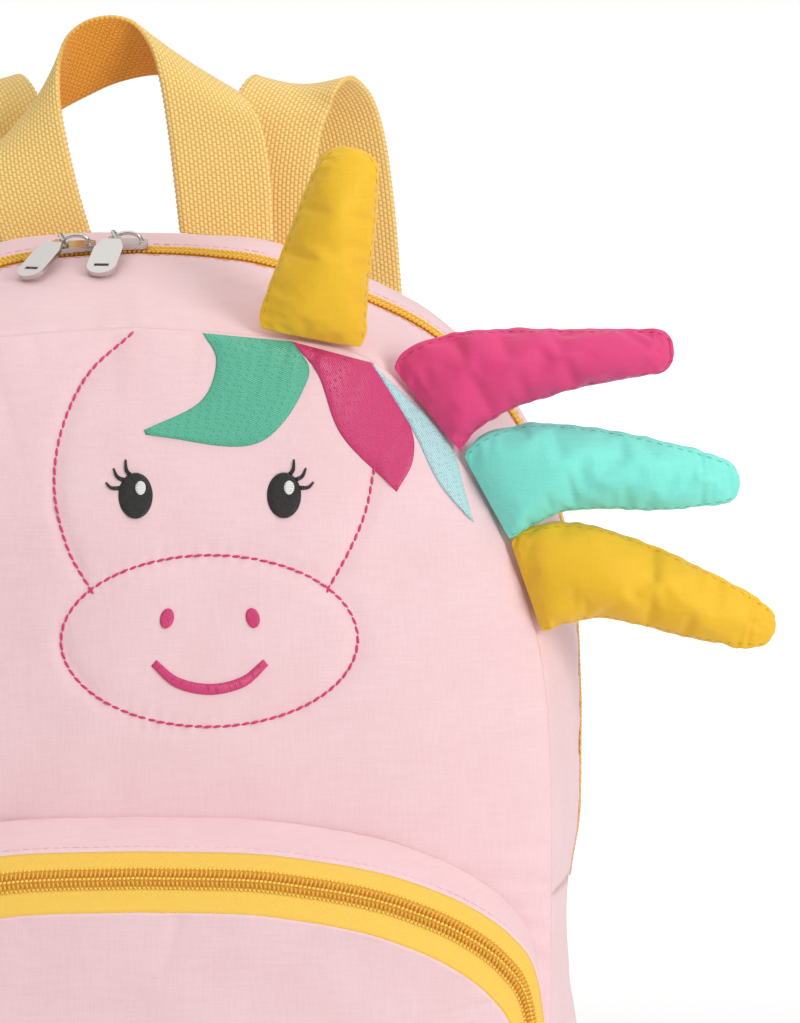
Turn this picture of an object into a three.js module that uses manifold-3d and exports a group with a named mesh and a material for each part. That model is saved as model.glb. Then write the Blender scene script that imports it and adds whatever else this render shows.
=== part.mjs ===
// A child's unicorn backpack, about 280 mm wide, 325 mm tall and 105 mm deep, in millimetres.
// It stands on its bottom: +Z is up, -Y is the front, +X is the side that carries the mane.
// The origin is the middle of the flat bottom. Every sheet is a closed solid with its real wall,
// so the main compartment and the front pocket are hollow.
import * as THREE from "three";
import { mergeVertices } from "three/addons/utils/BufferGeometryUtils.js";
import Module from "manifold-3d";

const wasm = await Module();
wasm.setup();

// Driving dimensions
const BODY_WIDTH = 282;
const BODY_HEIGHT = 325;
const BODY_DEPTH = 100;
const BOTTOM_CORNER = 38;
const GUSSET_WALL = 3;
const GUSSET_JOIN_HEIGHT = 124;
const WAIST_DENT = 3.5;
const WAIST_HEIGHT = 107;
const WAIST_REACH = 28;
const FRONT_PUFF = 20;
const FRONT_WALL = 6;
const BACK_PUFF = 5;
const BACK_WALL = 5;
const MAIN_ZIP_WIDTH = 6.4;
const COIL_HEIGHT = 1.6;
const POCKET_WIDTH = 251;
const POCKET_HEIGHT = 152;
const POCKET_LIFT = 11;
const POCKET_DEPTH = 26.5;
const POCKET_PUFF = 45;
const POCKET_WALL = 2;
const POCKET_CORNER = 34.2;
const POCKET_JOIN_RISE = 45.6;
const WEBBING_WIDTH = 30;
const WEBBING_THICKNESS = 1.6;
const HANDLE_RISE = 71;
const HANDLE_SPREAD = 29.5;
const HANDLE_SETBACK = 14;
const HANDLE_FOOT_GAP = 1.7;
const STRAP_SPREAD = 42;
const STRAP_REACH = 58;
const HORN_LENGTH = 60;
const HORN_THICKNESS = 19;
const LOCK_LENGTH = 78;
const LOCK_THICKNESS = 19;
const ROOT_BULGE = 1.3;
const ROOT_SETBACK = 1.2;
const SLIDER_LENGTH = 13;
const SLIDER_WIDTH = 7;
const SLIDER_HEIGHT = 1.8;
const CROWN_SPAN = 10.4;
const CROWN_RISE = 3.6;
const CROWN_WIRE = 1.4;
const TAB_LENGTH = 19;
const TAB_WIDTH = 9.4;
const TAB_THICKNESS = 1.4;
const TAB_NECK = 5;
const TAB_EYE = 2.7;
const TAB_WIRE = 1;
const TAB_REST_GAP = 1.5;
const TAB_NECK_PITCH = 14;
const SEAM_GAP = 0.3;
const POCKET_SEAT_GAP = 0.6;
const SLIDER_SEAT_GAP = 0.6;
const POCKET_SLIDER_GAP = 0.9;

const COLOURS = {
  pink: 0xf6d3d6,
  webbing: 0xf3c766,
  zip: 0xf6cf5c,
  coil: 0xe0a52e,
  horn: 0xf0c22f,
  magenta: 0xdc4a7c,
  teal: 0x7fe3d2,
  metal: 0xc9c7c4,
};

// Outlines of the body, each for the right half. across is a share of the half width and down a share
// of the shoulder's own drop, from the top centre to where the side runs straight.
const SHOULDER_DROP = 0.44;
const FRONT_SHOULDER = [
  { across: 0, down: 0 },
  { across: 0.22, down: 0.012 },
  { across: 0.44, down: 0.035 },
  { across: 0.56, down: 0.07 },
  { across: 0.65, down: 0.14 },
  { across: 0.75, down: 0.255 },
  { across: 0.855, down: 0.41 },
  { across: 0.95, down: 0.63 },
  { across: 0.985, down: 0.8 },
  { across: 1, down: 1 },
];
const ZIP_SHOULDER = [
  { across: 0, down: 0 },
  { across: 0.16, down: 0.01 },
  { across: 0.31, down: 0.037 },
  { across: 0.52, down: 0.113 },
  { across: 0.68, down: 0.195 },
  { across: 0.84, down: 0.355 },
  { across: 0.95, down: 0.57 },
  { across: 0.99, down: 0.79 },
  { across: 1, down: 1 },
];
const REAR_SHOULDER = [
  { across: 0, down: 0 },
  { across: 0.16, down: 0.003 },
  { across: 0.31, down: 0.02 },
  { across: 0.53, down: 0.1 },
  { across: 0.67, down: 0.178 },
  { across: 0.8, down: 0.295 },
  { across: 0.9, down: 0.46 },
  { across: 0.975, down: 0.7 },
  { across: 1, down: 1 },
];

// Sections of the body from the front seam to the rear seam. back is a share of the depth, width and
// top are shares of the body's, and lift is the bottom's height as a share of the corner radius.
const BODY_SECTIONS = [
  { back: 0, width: 0.908, top: 0.9215, lift: 0.24, front: 1, rear: 0 },
  { back: 0.14, width: 0.936, top: 0.943, lift: 0.08, front: 0.75, rear: 0 },
  { back: 0.28, width: 0.963, top: 0.962, lift: 0, front: 0.45, rear: 0 },
  { back: 0.42, width: 0.987, top: 0.98, lift: 0, front: 0.1, rear: 0 },
  { back: 0.55, width: 0.998, top: 0.993, lift: 0, front: 0, rear: 0.6 },
  { back: 0.68, width: 1, top: 1, lift: 0, front: 0, rear: 1 },
  { back: 0.84, width: 0.996, top: 0.996, lift: 0, front: 0, rear: 1 },
  { back: 0.94, width: 0.979, top: 0.989, lift: 0.06, front: 0, rear: 1 },
  { back: 1, width: 0.95, top: 0.977, lift: 0.21, front: 0, rear: 0.9 },
];

// The puff of a padded panel: 0 at its rim and 1 at its middle.
const PANEL_RINGS = [1, 0.985, 0.95, 0.88, 0.76, 0.58, 0.36, 0.16, 0];
const BACK_RINGS = [1, 0.97, 0.88, 0.6, 0];
const puffCurve = (share) => Math.pow(1 - share ** 3, 0.8);
// Read straight between the rings, so that other pieces seat on the panel's own facets.
function puff(share) {
  const i = Math.min(PANEL_RINGS.findIndex((ring) => ring <= share), PANEL_RINGS.length - 1);
  if (i <= 0) return puffCurve(share);
  const [a, b] = [PANEL_RINGS[i - 1], PANEL_RINGS[i]];
  const t = (a - share) / (a - b);
  return puffCurve(a) * (1 - t) + puffCurve(b) * t;
}

// The pocket's arch, as the shoulders above, and its rings from the seam on the front panel inwards.
const POCKET_SHOULDER_DROP = 0.5;
const POCKET_SHOULDER = [
  { across: 0, down: 0 },
  { across: 0.26, down: 0.01 },
  { across: 0.42, down: 0.042 },
  { across: 0.55, down: 0.083 },
  { across: 0.66, down: 0.138 },
  { across: 0.79, down: 0.235 },
  { across: 0.9, down: 0.37 },
  { across: 0.965, down: 0.55 },
  { across: 1, down: 1 },
];
const POCKET_RINGS = {
  seam: { width: 1, top: 1, lift: 1, proud: 0 },
  tape: { width: 1.006, top: 0.946, lift: 1.25, proud: 0.72 },
  face: { width: 0.945, top: 0.832, lift: 2.1, proud: 1 },
};
const UPPER_TAPE_SHARE = 0.3;
const COIL_SHARE = 0.61;
const POCKET_FLOOR_DEPTH_SHARE = 0.6;
const POCKET_FACE_RINGS = [1, 0.86, 0.68, 0.45, 0.2, 0];
// The face stays near its full depth until close to its rim.
const POCKET_FACE_FULLNESS = 2.4;
// Along the outline, the floor strip deepens from this share of the way to the join.
const FLOOR_DEEPENS_FROM = 0.4;

const BOTTOM_STEPS = 3;
const CORNER_STEPS = 4;
const LOWER_SIDE_STEPS = 4;
const UPPER_SIDE_STEPS = 2;
const SHOULDER_STEPS = 13;
const HALF_STEPS = BOTTOM_STEPS + CORNER_STEPS + LOWER_SIDE_STEPS + UPPER_SIDE_STEPS + SHOULDER_STEPS;
const JOIN_STEP = BOTTOM_STEPS + CORNER_STEPS + LOWER_SIDE_STEPS;

const FRONT_Y = -BODY_DEPTH / 2;
const REAR_Y = BODY_DEPTH / 2;
const ZIP_Y = 0;
const HANDLE_Y = REAR_Y - HANDLE_SETBACK;
const STUFFED_Y = FRONT_Y - ROOT_SETBACK;
const PANEL_CENTRE_SHARE = 0.46;
const POCKET_CENTRE_SHARE = 0.47;
const PANEL_CENTRE = { x: 0, z: BODY_HEIGHT * PANEL_CENTRE_SHARE };
const POCKET_CENTRE = { x: 0, z: POCKET_HEIGHT * POCKET_CENTRE_SHARE };

// Smooth reading of one column of a table by another, with a Catmull-Rom curve through its rows.
function readTable(rows, key, column, at) {
  const last = rows.length - 1;
  if (at <= rows[0][key]) return rows[0][column];
  if (at >= rows[last][key]) return rows[last][column];
  const i = rows.findIndex((row) => row[key] > at) - 1;
  const slope = (k) => {
    const a = rows[Math.max(k - 1, 0)];
    const b = rows[Math.min(k + 1, last)];
    return (b[column] - a[column]) / (b[key] - a[key]);
  };
  const span = rows[i + 1][key] - rows[i][key];
  const t = (at - rows[i][key]) / span;
  const rise = t * t * (3 - 2 * t);
  return (
    rows[i][column] * (1 - rise) +
    rows[i + 1][column] * rise +
    slope(i) * span * t * (1 - t) ** 2 -
    slope(i + 1) * span * t * t * (1 - t)
  );
}

// Points of a shoulder, evenly spaced round its curve from the side (0) to the top centre (1).
function shoulderPoint(table, share) {
  const curve = new THREE.CatmullRomCurve3(
    table.map((row) => new THREE.Vector3(row.across, -row.down, 0)).reverse(),
  );
  const point = curve.getPointAt(share);
  return { across: point.x, down: -point.y };
}

const shoulderCache = new Map();
function shoulderPoints(table) {
  if (!shoulderCache.has(table)) {
    const points = [];
    for (let i = 0; i <= SHOULDER_STEPS; i++) points.push(shoulderPoint(table, i / SHOULDER_STEPS));
    shoulderCache.set(table, points);
  }
  return shoulderCache.get(table);
}

// Right half of an outline, from the bottom centre round to the top centre: flat bottom, corner arc,
// straight side and shoulder. join is the height where the lower side gives way to the upper.
function halfOutline({ halfWidth, top, bottom, corner, drop, join, shoulder }) {
  const points = [];
  const flat = halfWidth - corner;
  for (let i = 0; i < BOTTOM_STEPS; i++) points.push({ x: (flat * i) / BOTTOM_STEPS, z: bottom });
  for (let i = 0; i < CORNER_STEPS; i++) {
    const turn = ((Math.PI / 2) * i) / CORNER_STEPS;
    points.push({ x: flat + corner * Math.sin(turn), z: bottom + corner * (1 - Math.cos(turn)) });
  }
  const sideFoot = bottom + corner;
  for (let i = 0; i < LOWER_SIDE_STEPS; i++)
    points.push({ x: halfWidth, z: sideFoot + ((join - sideFoot) * i) / LOWER_SIDE_STEPS });
  const shoulderFoot = top - drop;
  for (let i = 0; i < UPPER_SIDE_STEPS; i++)
    points.push({ x: halfWidth, z: join + ((shoulderFoot - join) * i) / UPPER_SIDE_STEPS });
  for (const { across, down } of shoulder) points.push({ x: halfWidth * across, z: top - drop * down });
  return points;
}

// The whole outline: the right half upwards, then the left half back down to the bottom centre.
function wholeOutline(half) {
  const left = half.slice(0, -1).reverse().map(({ x, z }) => ({ x: -x, z }));
  return [...half, ...left];
}

// The body narrows where the zip's gusset ends and the bottom gusset begins, fully from this share of
// the body's width outwards.
const WAIST_FULL_FROM = 0.4;
function waistShare(x, z) {
  const away = (z - WAIST_HEIGHT) / WAIST_REACH;
  return Math.exp(-(away ** 4)) * Math.min(x / (BODY_WIDTH * WAIST_FULL_FROM), 1);
}

// Outline of the body at a place between the seams, inset by a wall.
function bodyOutline(y, inset) {
  const back = (y - FRONT_Y) / BODY_DEPTH;
  const read = (column) => readTable(BODY_SECTIONS, "back", column, back);
  const front = Math.min(Math.max(read("front"), 0), 1);
  const rear = Math.min(Math.max(read("rear"), 0), 1);
  const shapes = [FRONT_SHOULDER, ZIP_SHOULDER, REAR_SHOULDER].map(shoulderPoints);
  const weights = [front, 1 - front - rear, rear];
  const shoulder = shapes[0].map((_, i) => ({
    across: weights.reduce((sum, w, k) => sum + w * shapes[k][i].across, 0),
    down: weights.reduce((sum, w, k) => sum + w * shapes[k][i].down, 0),
  }));
  const top = BODY_HEIGHT * read("top") - inset;
  const half = halfOutline({
    halfWidth: (BODY_WIDTH / 2) * read("width") - inset,
    top,
    bottom: BOTTOM_CORNER * Math.max(read("lift"), 0) + inset,
    corner: BOTTOM_CORNER - inset,
    drop: BODY_HEIGHT * SHOULDER_DROP - inset,
    join: GUSSET_JOIN_HEIGHT,
    shoulder,
  });
  const dented = half.map(({ x, z }) => ({
    x: x - WAIST_DENT * waistShare(x, z) * (1 - front),
    z,
  }));
  return wholeOutline(dented);
}

// How far a point lies from a panel's centre towards its outline: 0 at the centre and 1 on the outline.
function outlineShare(outline, centre, x, z) {
  const dx = x - centre.x;
  const dz = z - centre.z;
  let best = 0;
  for (let i = 0; i + 1 < outline.length; i++) {
    const ax = outline[i].x - centre.x;
    const az = outline[i].z - centre.z;
    const ex = outline[i + 1].x - outline[i].x;
    const ez = outline[i + 1].z - outline[i].z;
    const cross = dx * ez - dz * ex;
    if (Math.abs(cross) < 1e-9) continue;
    const ray = (ax * ez - az * ex) / cross;
    const edge = (ax * dz - az * dx) / cross;
    if (ray > 0 && edge >= -1e-6 && edge <= 1 + 1e-6) best = Math.max(best, 1 / ray);
  }
  return Math.min(best, 1);
}

const FRONT_OUTLINE = bodyOutline(FRONT_Y, 0);

// The front panel's outer surface at a place seen from the front.
function frontPanelY(x, z) {
  return FRONT_Y - FRONT_PUFF * puff(outlineShare(FRONT_OUTLINE, PANEL_CENTRE, x, z));
}

// A closed mesh from triangles of points, with shared points merged and collapsed triangles dropped.
function meshFrom(triangles) {
  const positions = [];
  for (const triangle of triangles) for (const p of triangle) positions.push(p.x, p.y, p.z);
  const loose = new THREE.BufferGeometry();
  loose.setAttribute("position", new THREE.Float32BufferAttribute(positions, 3));
  const merged = mergeVertices(loose, 1e-3);
  const index = merged.index.array;
  const kept = [];
  for (let i = 0; i < index.length; i += 3) {
    const [a, b, c] = [index[i], index[i + 1], index[i + 2]];
    if (a !== b && b !== c && a !== c) kept.push(a, b, c);
  }
  merged.setIndex(kept);
  merged.computeVertexNormals();
  return merged;
}

// A sheet solid between an outer and an inner grid of points. Its rows run across the sheet and its
// columns along it; wrap joins the last column to the first.
function sheetSolid(outer, inner, wrap = false) {
  const triangles = [];
  const quad = (a, b, c, d) => triangles.push([a, b, c], [a, c, d]);
  const rows = outer.length;
  const columns = outer[0].length;
  const steps = wrap ? columns : columns - 1;
  for (let i = 0; i + 1 < rows; i++)
    for (let j = 0; j < steps; j++) {
      const k = (j + 1) % columns;
      quad(outer[i][j], outer[i][k], outer[i + 1][k], outer[i + 1][j]);
      quad(inner[i][j], inner[i + 1][j], inner[i + 1][k], inner[i][k]);
    }
  for (let j = 0; j < steps; j++) {
    const k = (j + 1) % columns;
    quad(outer[0][k], outer[0][j], inner[0][j], inner[0][k]);
    quad(outer[rows - 1][j], outer[rows - 1][k], inner[rows - 1][k], inner[rows - 1][j]);
  }
  if (!wrap)
    for (let i = 0; i + 1 < rows; i++) {
      quad(outer[i][0], outer[i + 1][0], inner[i + 1][0], inner[i][0]);
      const j = columns - 1;
      quad(outer[i + 1][j], outer[i][j], inner[i][j], inner[i + 1][j]);
    }
  return meshFrom(triangles);
}

const clothMaterial = (colour, roughness = 0.75) =>
  new THREE.MeshStandardMaterial({ color: colour, roughness, metalness: 0 });
const metalMaterial = () =>
  new THREE.MeshStandardMaterial({ color: COLOURS.metal, roughness: 0.25, metalness: 1 });

const placed = ({ x, z }, y) => new THREE.Vector3(x, y, z);

const backpack = new THREE.Group();
function addPiece(name, geometry, material, parent = backpack) {
  const mesh = new THREE.Mesh(geometry, material);
  mesh.name = name;
  parent.add(mesh);
  return mesh;
}

// Moves the first and last columns of a row inwards, so that two pieces keep the seam's gap.
function pullEnds(row) {
  const pulled = row.map((p) => p.clone());
  const last = row.length - 1;
  const step = (a, b) => b.clone().sub(a).setLength(SEAM_GAP / 2).add(a);
  pulled[0] = step(row[0], row[1]);
  pulled[last] = step(row[last], row[last - 1]);
  return pulled;
}

// A strip of the gusset between two depths, over the columns from first to last of the outline.
function gussetStrip(depths, first, last, wall) {
  const grids = [0, wall].map((inset) =>
    depths.map((y) => {
      const outline = bodyOutline(y, inset);
      const row = [];
      for (let k = first; k <= last; k++) row.push(placed(outline[k % (2 * HALF_STEPS)], y));
      return pullEnds(row);
    }),
  );
  const flipped = grids.map((grid) => grid.map((row) => [...row].reverse()));
  return sheetSolid(flipped[0], flipped[1]);
}

// Depths of the sections between two depths, leaving out those that nearly meet an end.
const NARROWEST_SECTION = 2;
const sectionDepths = (from, to) => {
  const inside = BODY_SECTIONS.map((row) => FRONT_Y + row.back * BODY_DEPTH).filter(
    (y) => y > from + NARROWEST_SECTION && y < to - NARROWEST_SECTION,
  );
  return [from, ...inside, to];
};

// Gussets: two strips that the main zip joins over the top, and one across the bottom
function addGussets() {
  const zipFront = ZIP_Y - MAIN_ZIP_WIDTH / 2;
  const zipBack = ZIP_Y + MAIN_ZIP_WIDTH / 2;
  const archFrom = JOIN_STEP;
  const archTo = 2 * HALF_STEPS - JOIN_STEP;
  const pink = clothMaterial(COLOURS.pink);
  const front = sectionDepths(FRONT_Y + SEAM_GAP, zipFront - SEAM_GAP);
  const rear = sectionDepths(zipBack + SEAM_GAP, REAR_Y - SEAM_GAP);
  const floor = sectionDepths(FRONT_Y + SEAM_GAP, REAR_Y - SEAM_GAP);
  addPiece("front_gusset", gussetStrip(front, archFrom, archTo, GUSSET_WALL), pink);
  addPiece("rear_gusset", gussetStrip(rear, archFrom, archTo, GUSSET_WALL), pink);
  const bottom = gussetStrip(floor, archTo, 2 * HALF_STEPS + JOIN_STEP, GUSSET_WALL);
  addPiece("bottom_gusset", bottom, pink);
  const zip = gussetStrip([zipFront, ZIP_Y, zipBack], archFrom, archTo, COIL_HEIGHT);
  addPiece("main_zip", zip, clothMaterial(COLOURS.coil, 0.45));
}

// A padded panel: a dished sheet whose rim lies flat against the gusset.
function paddedPanel(seamY, direction, height, wall, rings) {
  const grids = [0, wall].map((inset) => {
    const outline = bodyOutline(seamY, inset).slice(0, -1);
    const rise = height - inset;
    return rings.map((share) =>
      outline.map(({ x, z }) => {
        const ringX = PANEL_CENTRE.x + (x - PANEL_CENTRE.x) * share;
        const ringZ = PANEL_CENTRE.z + (z - PANEL_CENTRE.z) * share;
        return new THREE.Vector3(ringX, seamY + direction * rise * puff(share), ringZ);
      }),
    );
  });
  const [outer, inner] = direction < 0 ? grids : grids.map((grid) => grid.map((row) => [...row].reverse()));
  return sheetSolid(outer, inner, true);
}

// Padded panels: the front one that carries the face, and the flatter one against the wearer's back
function addPanels() {
  const pink = clothMaterial(COLOURS.pink);
  addPiece("front_panel", paddedPanel(FRONT_Y, -1, FRONT_PUFF, FRONT_WALL, PANEL_RINGS), pink);
  addPiece("back_panel", paddedPanel(REAR_Y, 1, BACK_PUFF, BACK_WALL, BACK_RINGS), pink);
}

// The pocket's flat outline for a row of its table, inset by a wall.
function pocketOutline({ width, top, lift }, inset) {
  const half = halfOutline({
    halfWidth: (POCKET_WIDTH / 2) * width - inset,
    top: POCKET_HEIGHT * top - inset,
    bottom: POCKET_LIFT * lift + inset,
    corner: POCKET_CORNER - inset,
    drop: POCKET_HEIGHT * POCKET_SHOULDER_DROP - inset,
    join: POCKET_LIFT + POCKET_JOIN_RISE,
    shoulder: shoulderPoints(POCKET_SHOULDER),
  });
  return wholeOutline(half);
}

// How far in front of the middle of the bag the pocket's cloth rests on the front panel.
const pocketSeatY = ({ x, z }) => frontPanelY(x, z) - POCKET_SEAT_GAP;
const POCKET_SEAM_Y = pocketOutline(POCKET_RINGS.seam, 0).map(pocketSeatY);

// One ring of the pocket, as points in space. fold runs 0 at the seam, 1 at the tape, 2 at the face.
function pocketRing(fold, inset) {
  const names = ["seam", "tape", "face"];
  const i = Math.min(Math.floor(fold), 1);
  const [a, b] = [POCKET_RINGS[names[i]], POCKET_RINGS[names[i + 1]]];
  const mix = (column) => a[column] + (b[column] - a[column]) * (fold - i);
  const row = { width: mix("width"), top: mix("top"), lift: mix("lift") };
  return pocketOutline(row, inset).map((point, k) => {
    const fromBottom = Math.min(k, 2 * HALF_STEPS - k) / JOIN_STEP;
    const rise = THREE.MathUtils.smoothstep(fromBottom, FLOOR_DEEPENS_FROM, 1);
    const depthShare = THREE.MathUtils.lerp(POCKET_FLOOR_DEPTH_SHARE, 1, rise);
    const proud = POCKET_DEPTH * mix("proud") * depthShare - inset * Math.min(fold, 1);
    const seat = THREE.MathUtils.lerp(pocketSeatY(point), POCKET_SEAM_Y[k], Math.min(fold, 1));
    return placed(point, seat - proud);
  });
}

// A strip of the pocket between two folds, over some columns of its outline.
function pocketStrip(folds, first, last) {
  const grids = [0, POCKET_WALL].map((inset) =>
    folds.map((fold) => {
      const ring = pocketRing(fold, inset);
      const row = [];
      for (let k = first; k <= last; k++) row.push(ring[k % (2 * HALF_STEPS)]);
      return pullEnds(row);
    }),
  );
  return sheetSolid(grids[0], grids[1]);
}

// The pocket's face: rings that shrink towards its centre and puff forward.
function pocketFace() {
  const grids = [0, POCKET_WALL].map((inset) => {
    const rim = pocketRing(2, inset).slice(0, -1);
    const apex = FRONT_Y - POCKET_PUFF + inset;
    return POCKET_FACE_RINGS.map((share) =>
      rim.map(
        ({ x, y, z }) =>
          new THREE.Vector3(
            POCKET_CENTRE.x + (x - POCKET_CENTRE.x) * share,
            apex + (y - apex) * share ** POCKET_FACE_FULLNESS,
            POCKET_CENTRE.z + (z - POCKET_CENTRE.z) * share,
          ),
      ),
    );
  });
  return sheetSolid(grids[0], grids[1], true);
}

// Front pocket: a pink band, the zip's two tapes with the coil between them, a floor strip and a face
function addPocket() {
  const pink = clothMaterial(COLOURS.pink);
  const zip = clothMaterial(COLOURS.zip);
  const archFrom = JOIN_STEP;
  const archTo = 2 * HALF_STEPS - JOIN_STEP;
  const coil = clothMaterial(COLOURS.coil, 0.45);
  const tapeSpan = POCKET_HEIGHT * (POCKET_RINGS.tape.top - POCKET_RINGS.face.top);
  const slack = SEAM_GAP / tapeSpan;
  const upper = 1 + UPPER_TAPE_SHARE;
  const lower = 1 + COIL_SHARE;
  addPiece("pocket_band", pocketStrip([0, 0.5, 1 - slack], archFrom, archTo), pink);
  addPiece("pocket_tape_upper", pocketStrip([1, upper - slack], archFrom, archTo), zip);
  addPiece("pocket_zip_coil", pocketStrip([upper, lower - slack], archFrom, archTo), coil);
  addPiece("pocket_tape_lower", pocketStrip([lower, 2 - slack], archFrom, archTo), zip);
  addPiece("pocket_floor", pocketStrip([0, 1, 2 - slack], archTo, 2 * HALF_STEPS + JOIN_STEP), pink);
  addPiece("pocket_face", pocketFace(), pink);
}

// A solid swept through a row of closed loops of points, with a flat cap at each end.
function loopSolid(loops) {
  const triangles = [];
  const count = loops[0].length;
  for (let i = 0; i + 1 < loops.length; i++)
    for (let j = 0; j < count; j++) {
      const k = (j + 1) % count;
      const [here, next] = [loops[i], loops[i + 1]];
      triangles.push([here[j], here[k], next[k]], [here[j], next[k], next[j]]);
    }
  for (const [loop, turn] of [[loops[0], 1], [loops[loops.length - 1], -1]]) {
    const middle = loop.reduce((sum, p) => sum.clone().add(p)).divideScalar(count);
    for (let j = 0; j < count; j++) {
      const pair = [loop[j], loop[(j + 1) % count]];
      triangles.push(turn > 0 ? [middle, pair[1], pair[0]] : [middle, pair[0], pair[1]]);
    }
  }
  return meshFrom(triangles);
}

// Webbing between two edges that edgesAt reads along its length, from 0 to 1.
const WEBBING_STEPS = 42;
function webbingSolid(edgesAt) {
  const loops = [];
  for (let i = 0; i <= WEBBING_STEPS; i++) {
    const { first, second, along } = edgesAt(i / WEBBING_STEPS);
    const through = second.clone().sub(first).cross(along).setLength(WEBBING_THICKNESS / 2);
    const corner = (point, turn) => point.clone().addScaledVector(through, turn);
    loops.push([corner(first, -1), corner(first, 1), corner(second, 1), corner(second, -1)]);
  }
  return loopSolid(loops);
}

// The handle's two edges from its left end to its right one. The webbing stands flat at both ends and
// folds back softly over a slanting line at each side, so that the middle of the loop hangs behind.
// out is a share of the spread, up of the rise and back of the webbing's width.
const HANDLE_EDGES = [
  { frontOut: -0.5, frontUp: 0, frontBack: 0, rearOut: -1.51, rearUp: 0, rearBack: 0 },
  { frontOut: -0.62, frontUp: 0.19, frontBack: 0, rearOut: -1.62, rearUp: 0.13, rearBack: 0 },
  { frontOut: -0.73, frontUp: 0.38, frontBack: 0, rearOut: -1.69, rearUp: 0.255, rearBack: 0.05 },
  { frontOut: -0.81, frontUp: 0.55, frontBack: 0, rearOut: -1.67, rearUp: 0.335, rearBack: 0.17 },
  { frontOut: -0.84, frontUp: 0.695, frontBack: 0.03, rearOut: -1.54, rearUp: 0.395, rearBack: 0.37 },
  { frontOut: -0.83, frontUp: 0.805, frontBack: 0.08, rearOut: -1.26, rearUp: 0.46, rearBack: 0.55 },
  { frontOut: -0.76, frontUp: 0.895, frontBack: 0.13, rearOut: -0.94, rearUp: 0.545, rearBack: 0.63 },
  { frontOut: -0.62, frontUp: 0.955, frontBack: 0.17, rearOut: -0.58, rearUp: 0.625, rearBack: 0.68 },
  { frontOut: -0.44, frontUp: 0.987, frontBack: 0.18, rearOut: -0.2, rearUp: 0.695, rearBack: 0.7 },
  { frontOut: -0.22, frontUp: 0.992, frontBack: 0.2, rearOut: 0.23, rearUp: 0.73, rearBack: 0.65 },
  { frontOut: -0.02, frontUp: 0.955, frontBack: 0.18, rearOut: 0.7, rearUp: 0.715, rearBack: 0.5 },
  { frontOut: 0.14, frontUp: 0.85, frontBack: 0.1, rearOut: 1.08, rearUp: 0.65, rearBack: 0.27 },
  { frontOut: 0.24, frontUp: 0.705, frontBack: 0.03, rearOut: 1.29, rearUp: 0.55, rearBack: 0.07 },
  { frontOut: 0.32, frontUp: 0.51, frontBack: 0.01, rearOut: 1.39, rearUp: 0.43, rearBack: 0.02 },
  { frontOut: 0.39, frontUp: 0.28, frontBack: 0, rearOut: 1.45, rearUp: 0.24, rearBack: 0 },
  { frontOut: 0.46, frontUp: 0, frontBack: 0, rearOut: 1.48, rearUp: 0, rearBack: 0 },
];
// Below this share of the rise the handle's ends follow the slope of the gusset under them.
const HANDLE_SETTLES_BELOW = 0.15;

// A shoulder strap: up from its seam behind the top edge, over, and down behind the bag to a lower
// corner. out is a share of the spread, up of the body's height and back of the strap's reach.
const STRAP_PATH = [
  { out: 1, up: 0.94, back: 0.046, side: [1, 0, 0] },
  { out: 1, up: 0.99, back: 0.058, side: [1, 0, 0] },
  { out: 1, up: 1.045, back: 0.065, side: [1, 0, 0] },
  { out: 1.04, up: 1.088, back: 0.085, side: [1, 0, 0] },
  { out: 1.1, up: 1.12, back: 0.13, side: [1, 0, 0] },
  { out: 1.22, up: 1.141, back: 0.24, side: [1, 0, 0] },
  { out: 1.38, up: 1.138, back: 0.38, side: [1, 0, 0] },
  { out: 1.54, up: 1.105, back: 0.54, side: [1, 0, -0.04] },
  { out: 1.65, up: 1.03, back: 0.7, side: [1, 0, -0.06] },
  { out: 1.77, up: 0.88, back: 0.9, side: [1, 0, -0.04] },
  { out: 1.96, up: 0.64, back: 1, side: [1, 0, 0.1] },
  { out: 2.2, up: 0.4, back: 0.82, side: [1, 0, 0.2] },
  { out: 2.46, up: 0.21, back: 0.42, side: [1, 0, 0.25] },
  { out: 2.63, up: 0.095, back: 0.04, side: [1, 0, 0.3] },
];

// A point of the handle's front or rear edge from one row of its table.
function handlePoint(row, edge) {
  const [out, up, back] = [row[`${edge}Out`], row[`${edge}Up`], row[`${edge}Back`]];
  const x = HANDLE_SPREAD * out;
  const middle = topSurfaceZ(0, HANDLE_Y);
  const settle = Math.max(1 - up / HANDLE_SETTLES_BELOW, 0);
  const foot = THREE.MathUtils.lerp(middle, topSurfaceZ(x, HANDLE_Y) + HANDLE_FOOT_GAP, settle);
  return new THREE.Vector3(x, HANDLE_Y + WEBBING_WIDTH * back, foot + HANDLE_RISE * up);
}

function handleGeometry() {
  const front = new THREE.CatmullRomCurve3(HANDLE_EDGES.map((row) => handlePoint(row, "front")));
  const rear = new THREE.CatmullRomCurve3(HANDLE_EDGES.map((row) => handlePoint(row, "rear")));
  return webbingSolid((share) => ({
    first: rear.getPoint(share),
    second: front.getPoint(share),
    along: rear.getTangent(share).add(front.getTangent(share)),
  }));
}

// A strap's geometry: mirror is 1 on the right and -1 on the left.
function strapGeometry(mirror) {
  const places = STRAP_PATH.map(
    ({ out, up, back }) =>
      new THREE.Vector3(mirror * STRAP_SPREAD * out, REAR_Y + STRAP_REACH * back, BODY_HEIGHT * up),
  );
  const turns = STRAP_PATH.map(
    ({ side }) => new THREE.Vector3(side[0], mirror * side[1], mirror * side[2]),
  );
  const path = new THREE.CatmullRomCurve3(places, false, "centripetal");
  const sides = new THREE.CatmullRomCurve3(turns);
  return webbingSolid((share) => {
    const middle = path.getPoint(share);
    const along = path.getTangent(share);
    const across = sides.getPoint(share);
    across.addScaledVector(along, -across.dot(along)).setLength(WEBBING_WIDTH / 2);
    return { first: middle.clone().sub(across), second: middle.clone().add(across), along };
  });
}

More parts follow.
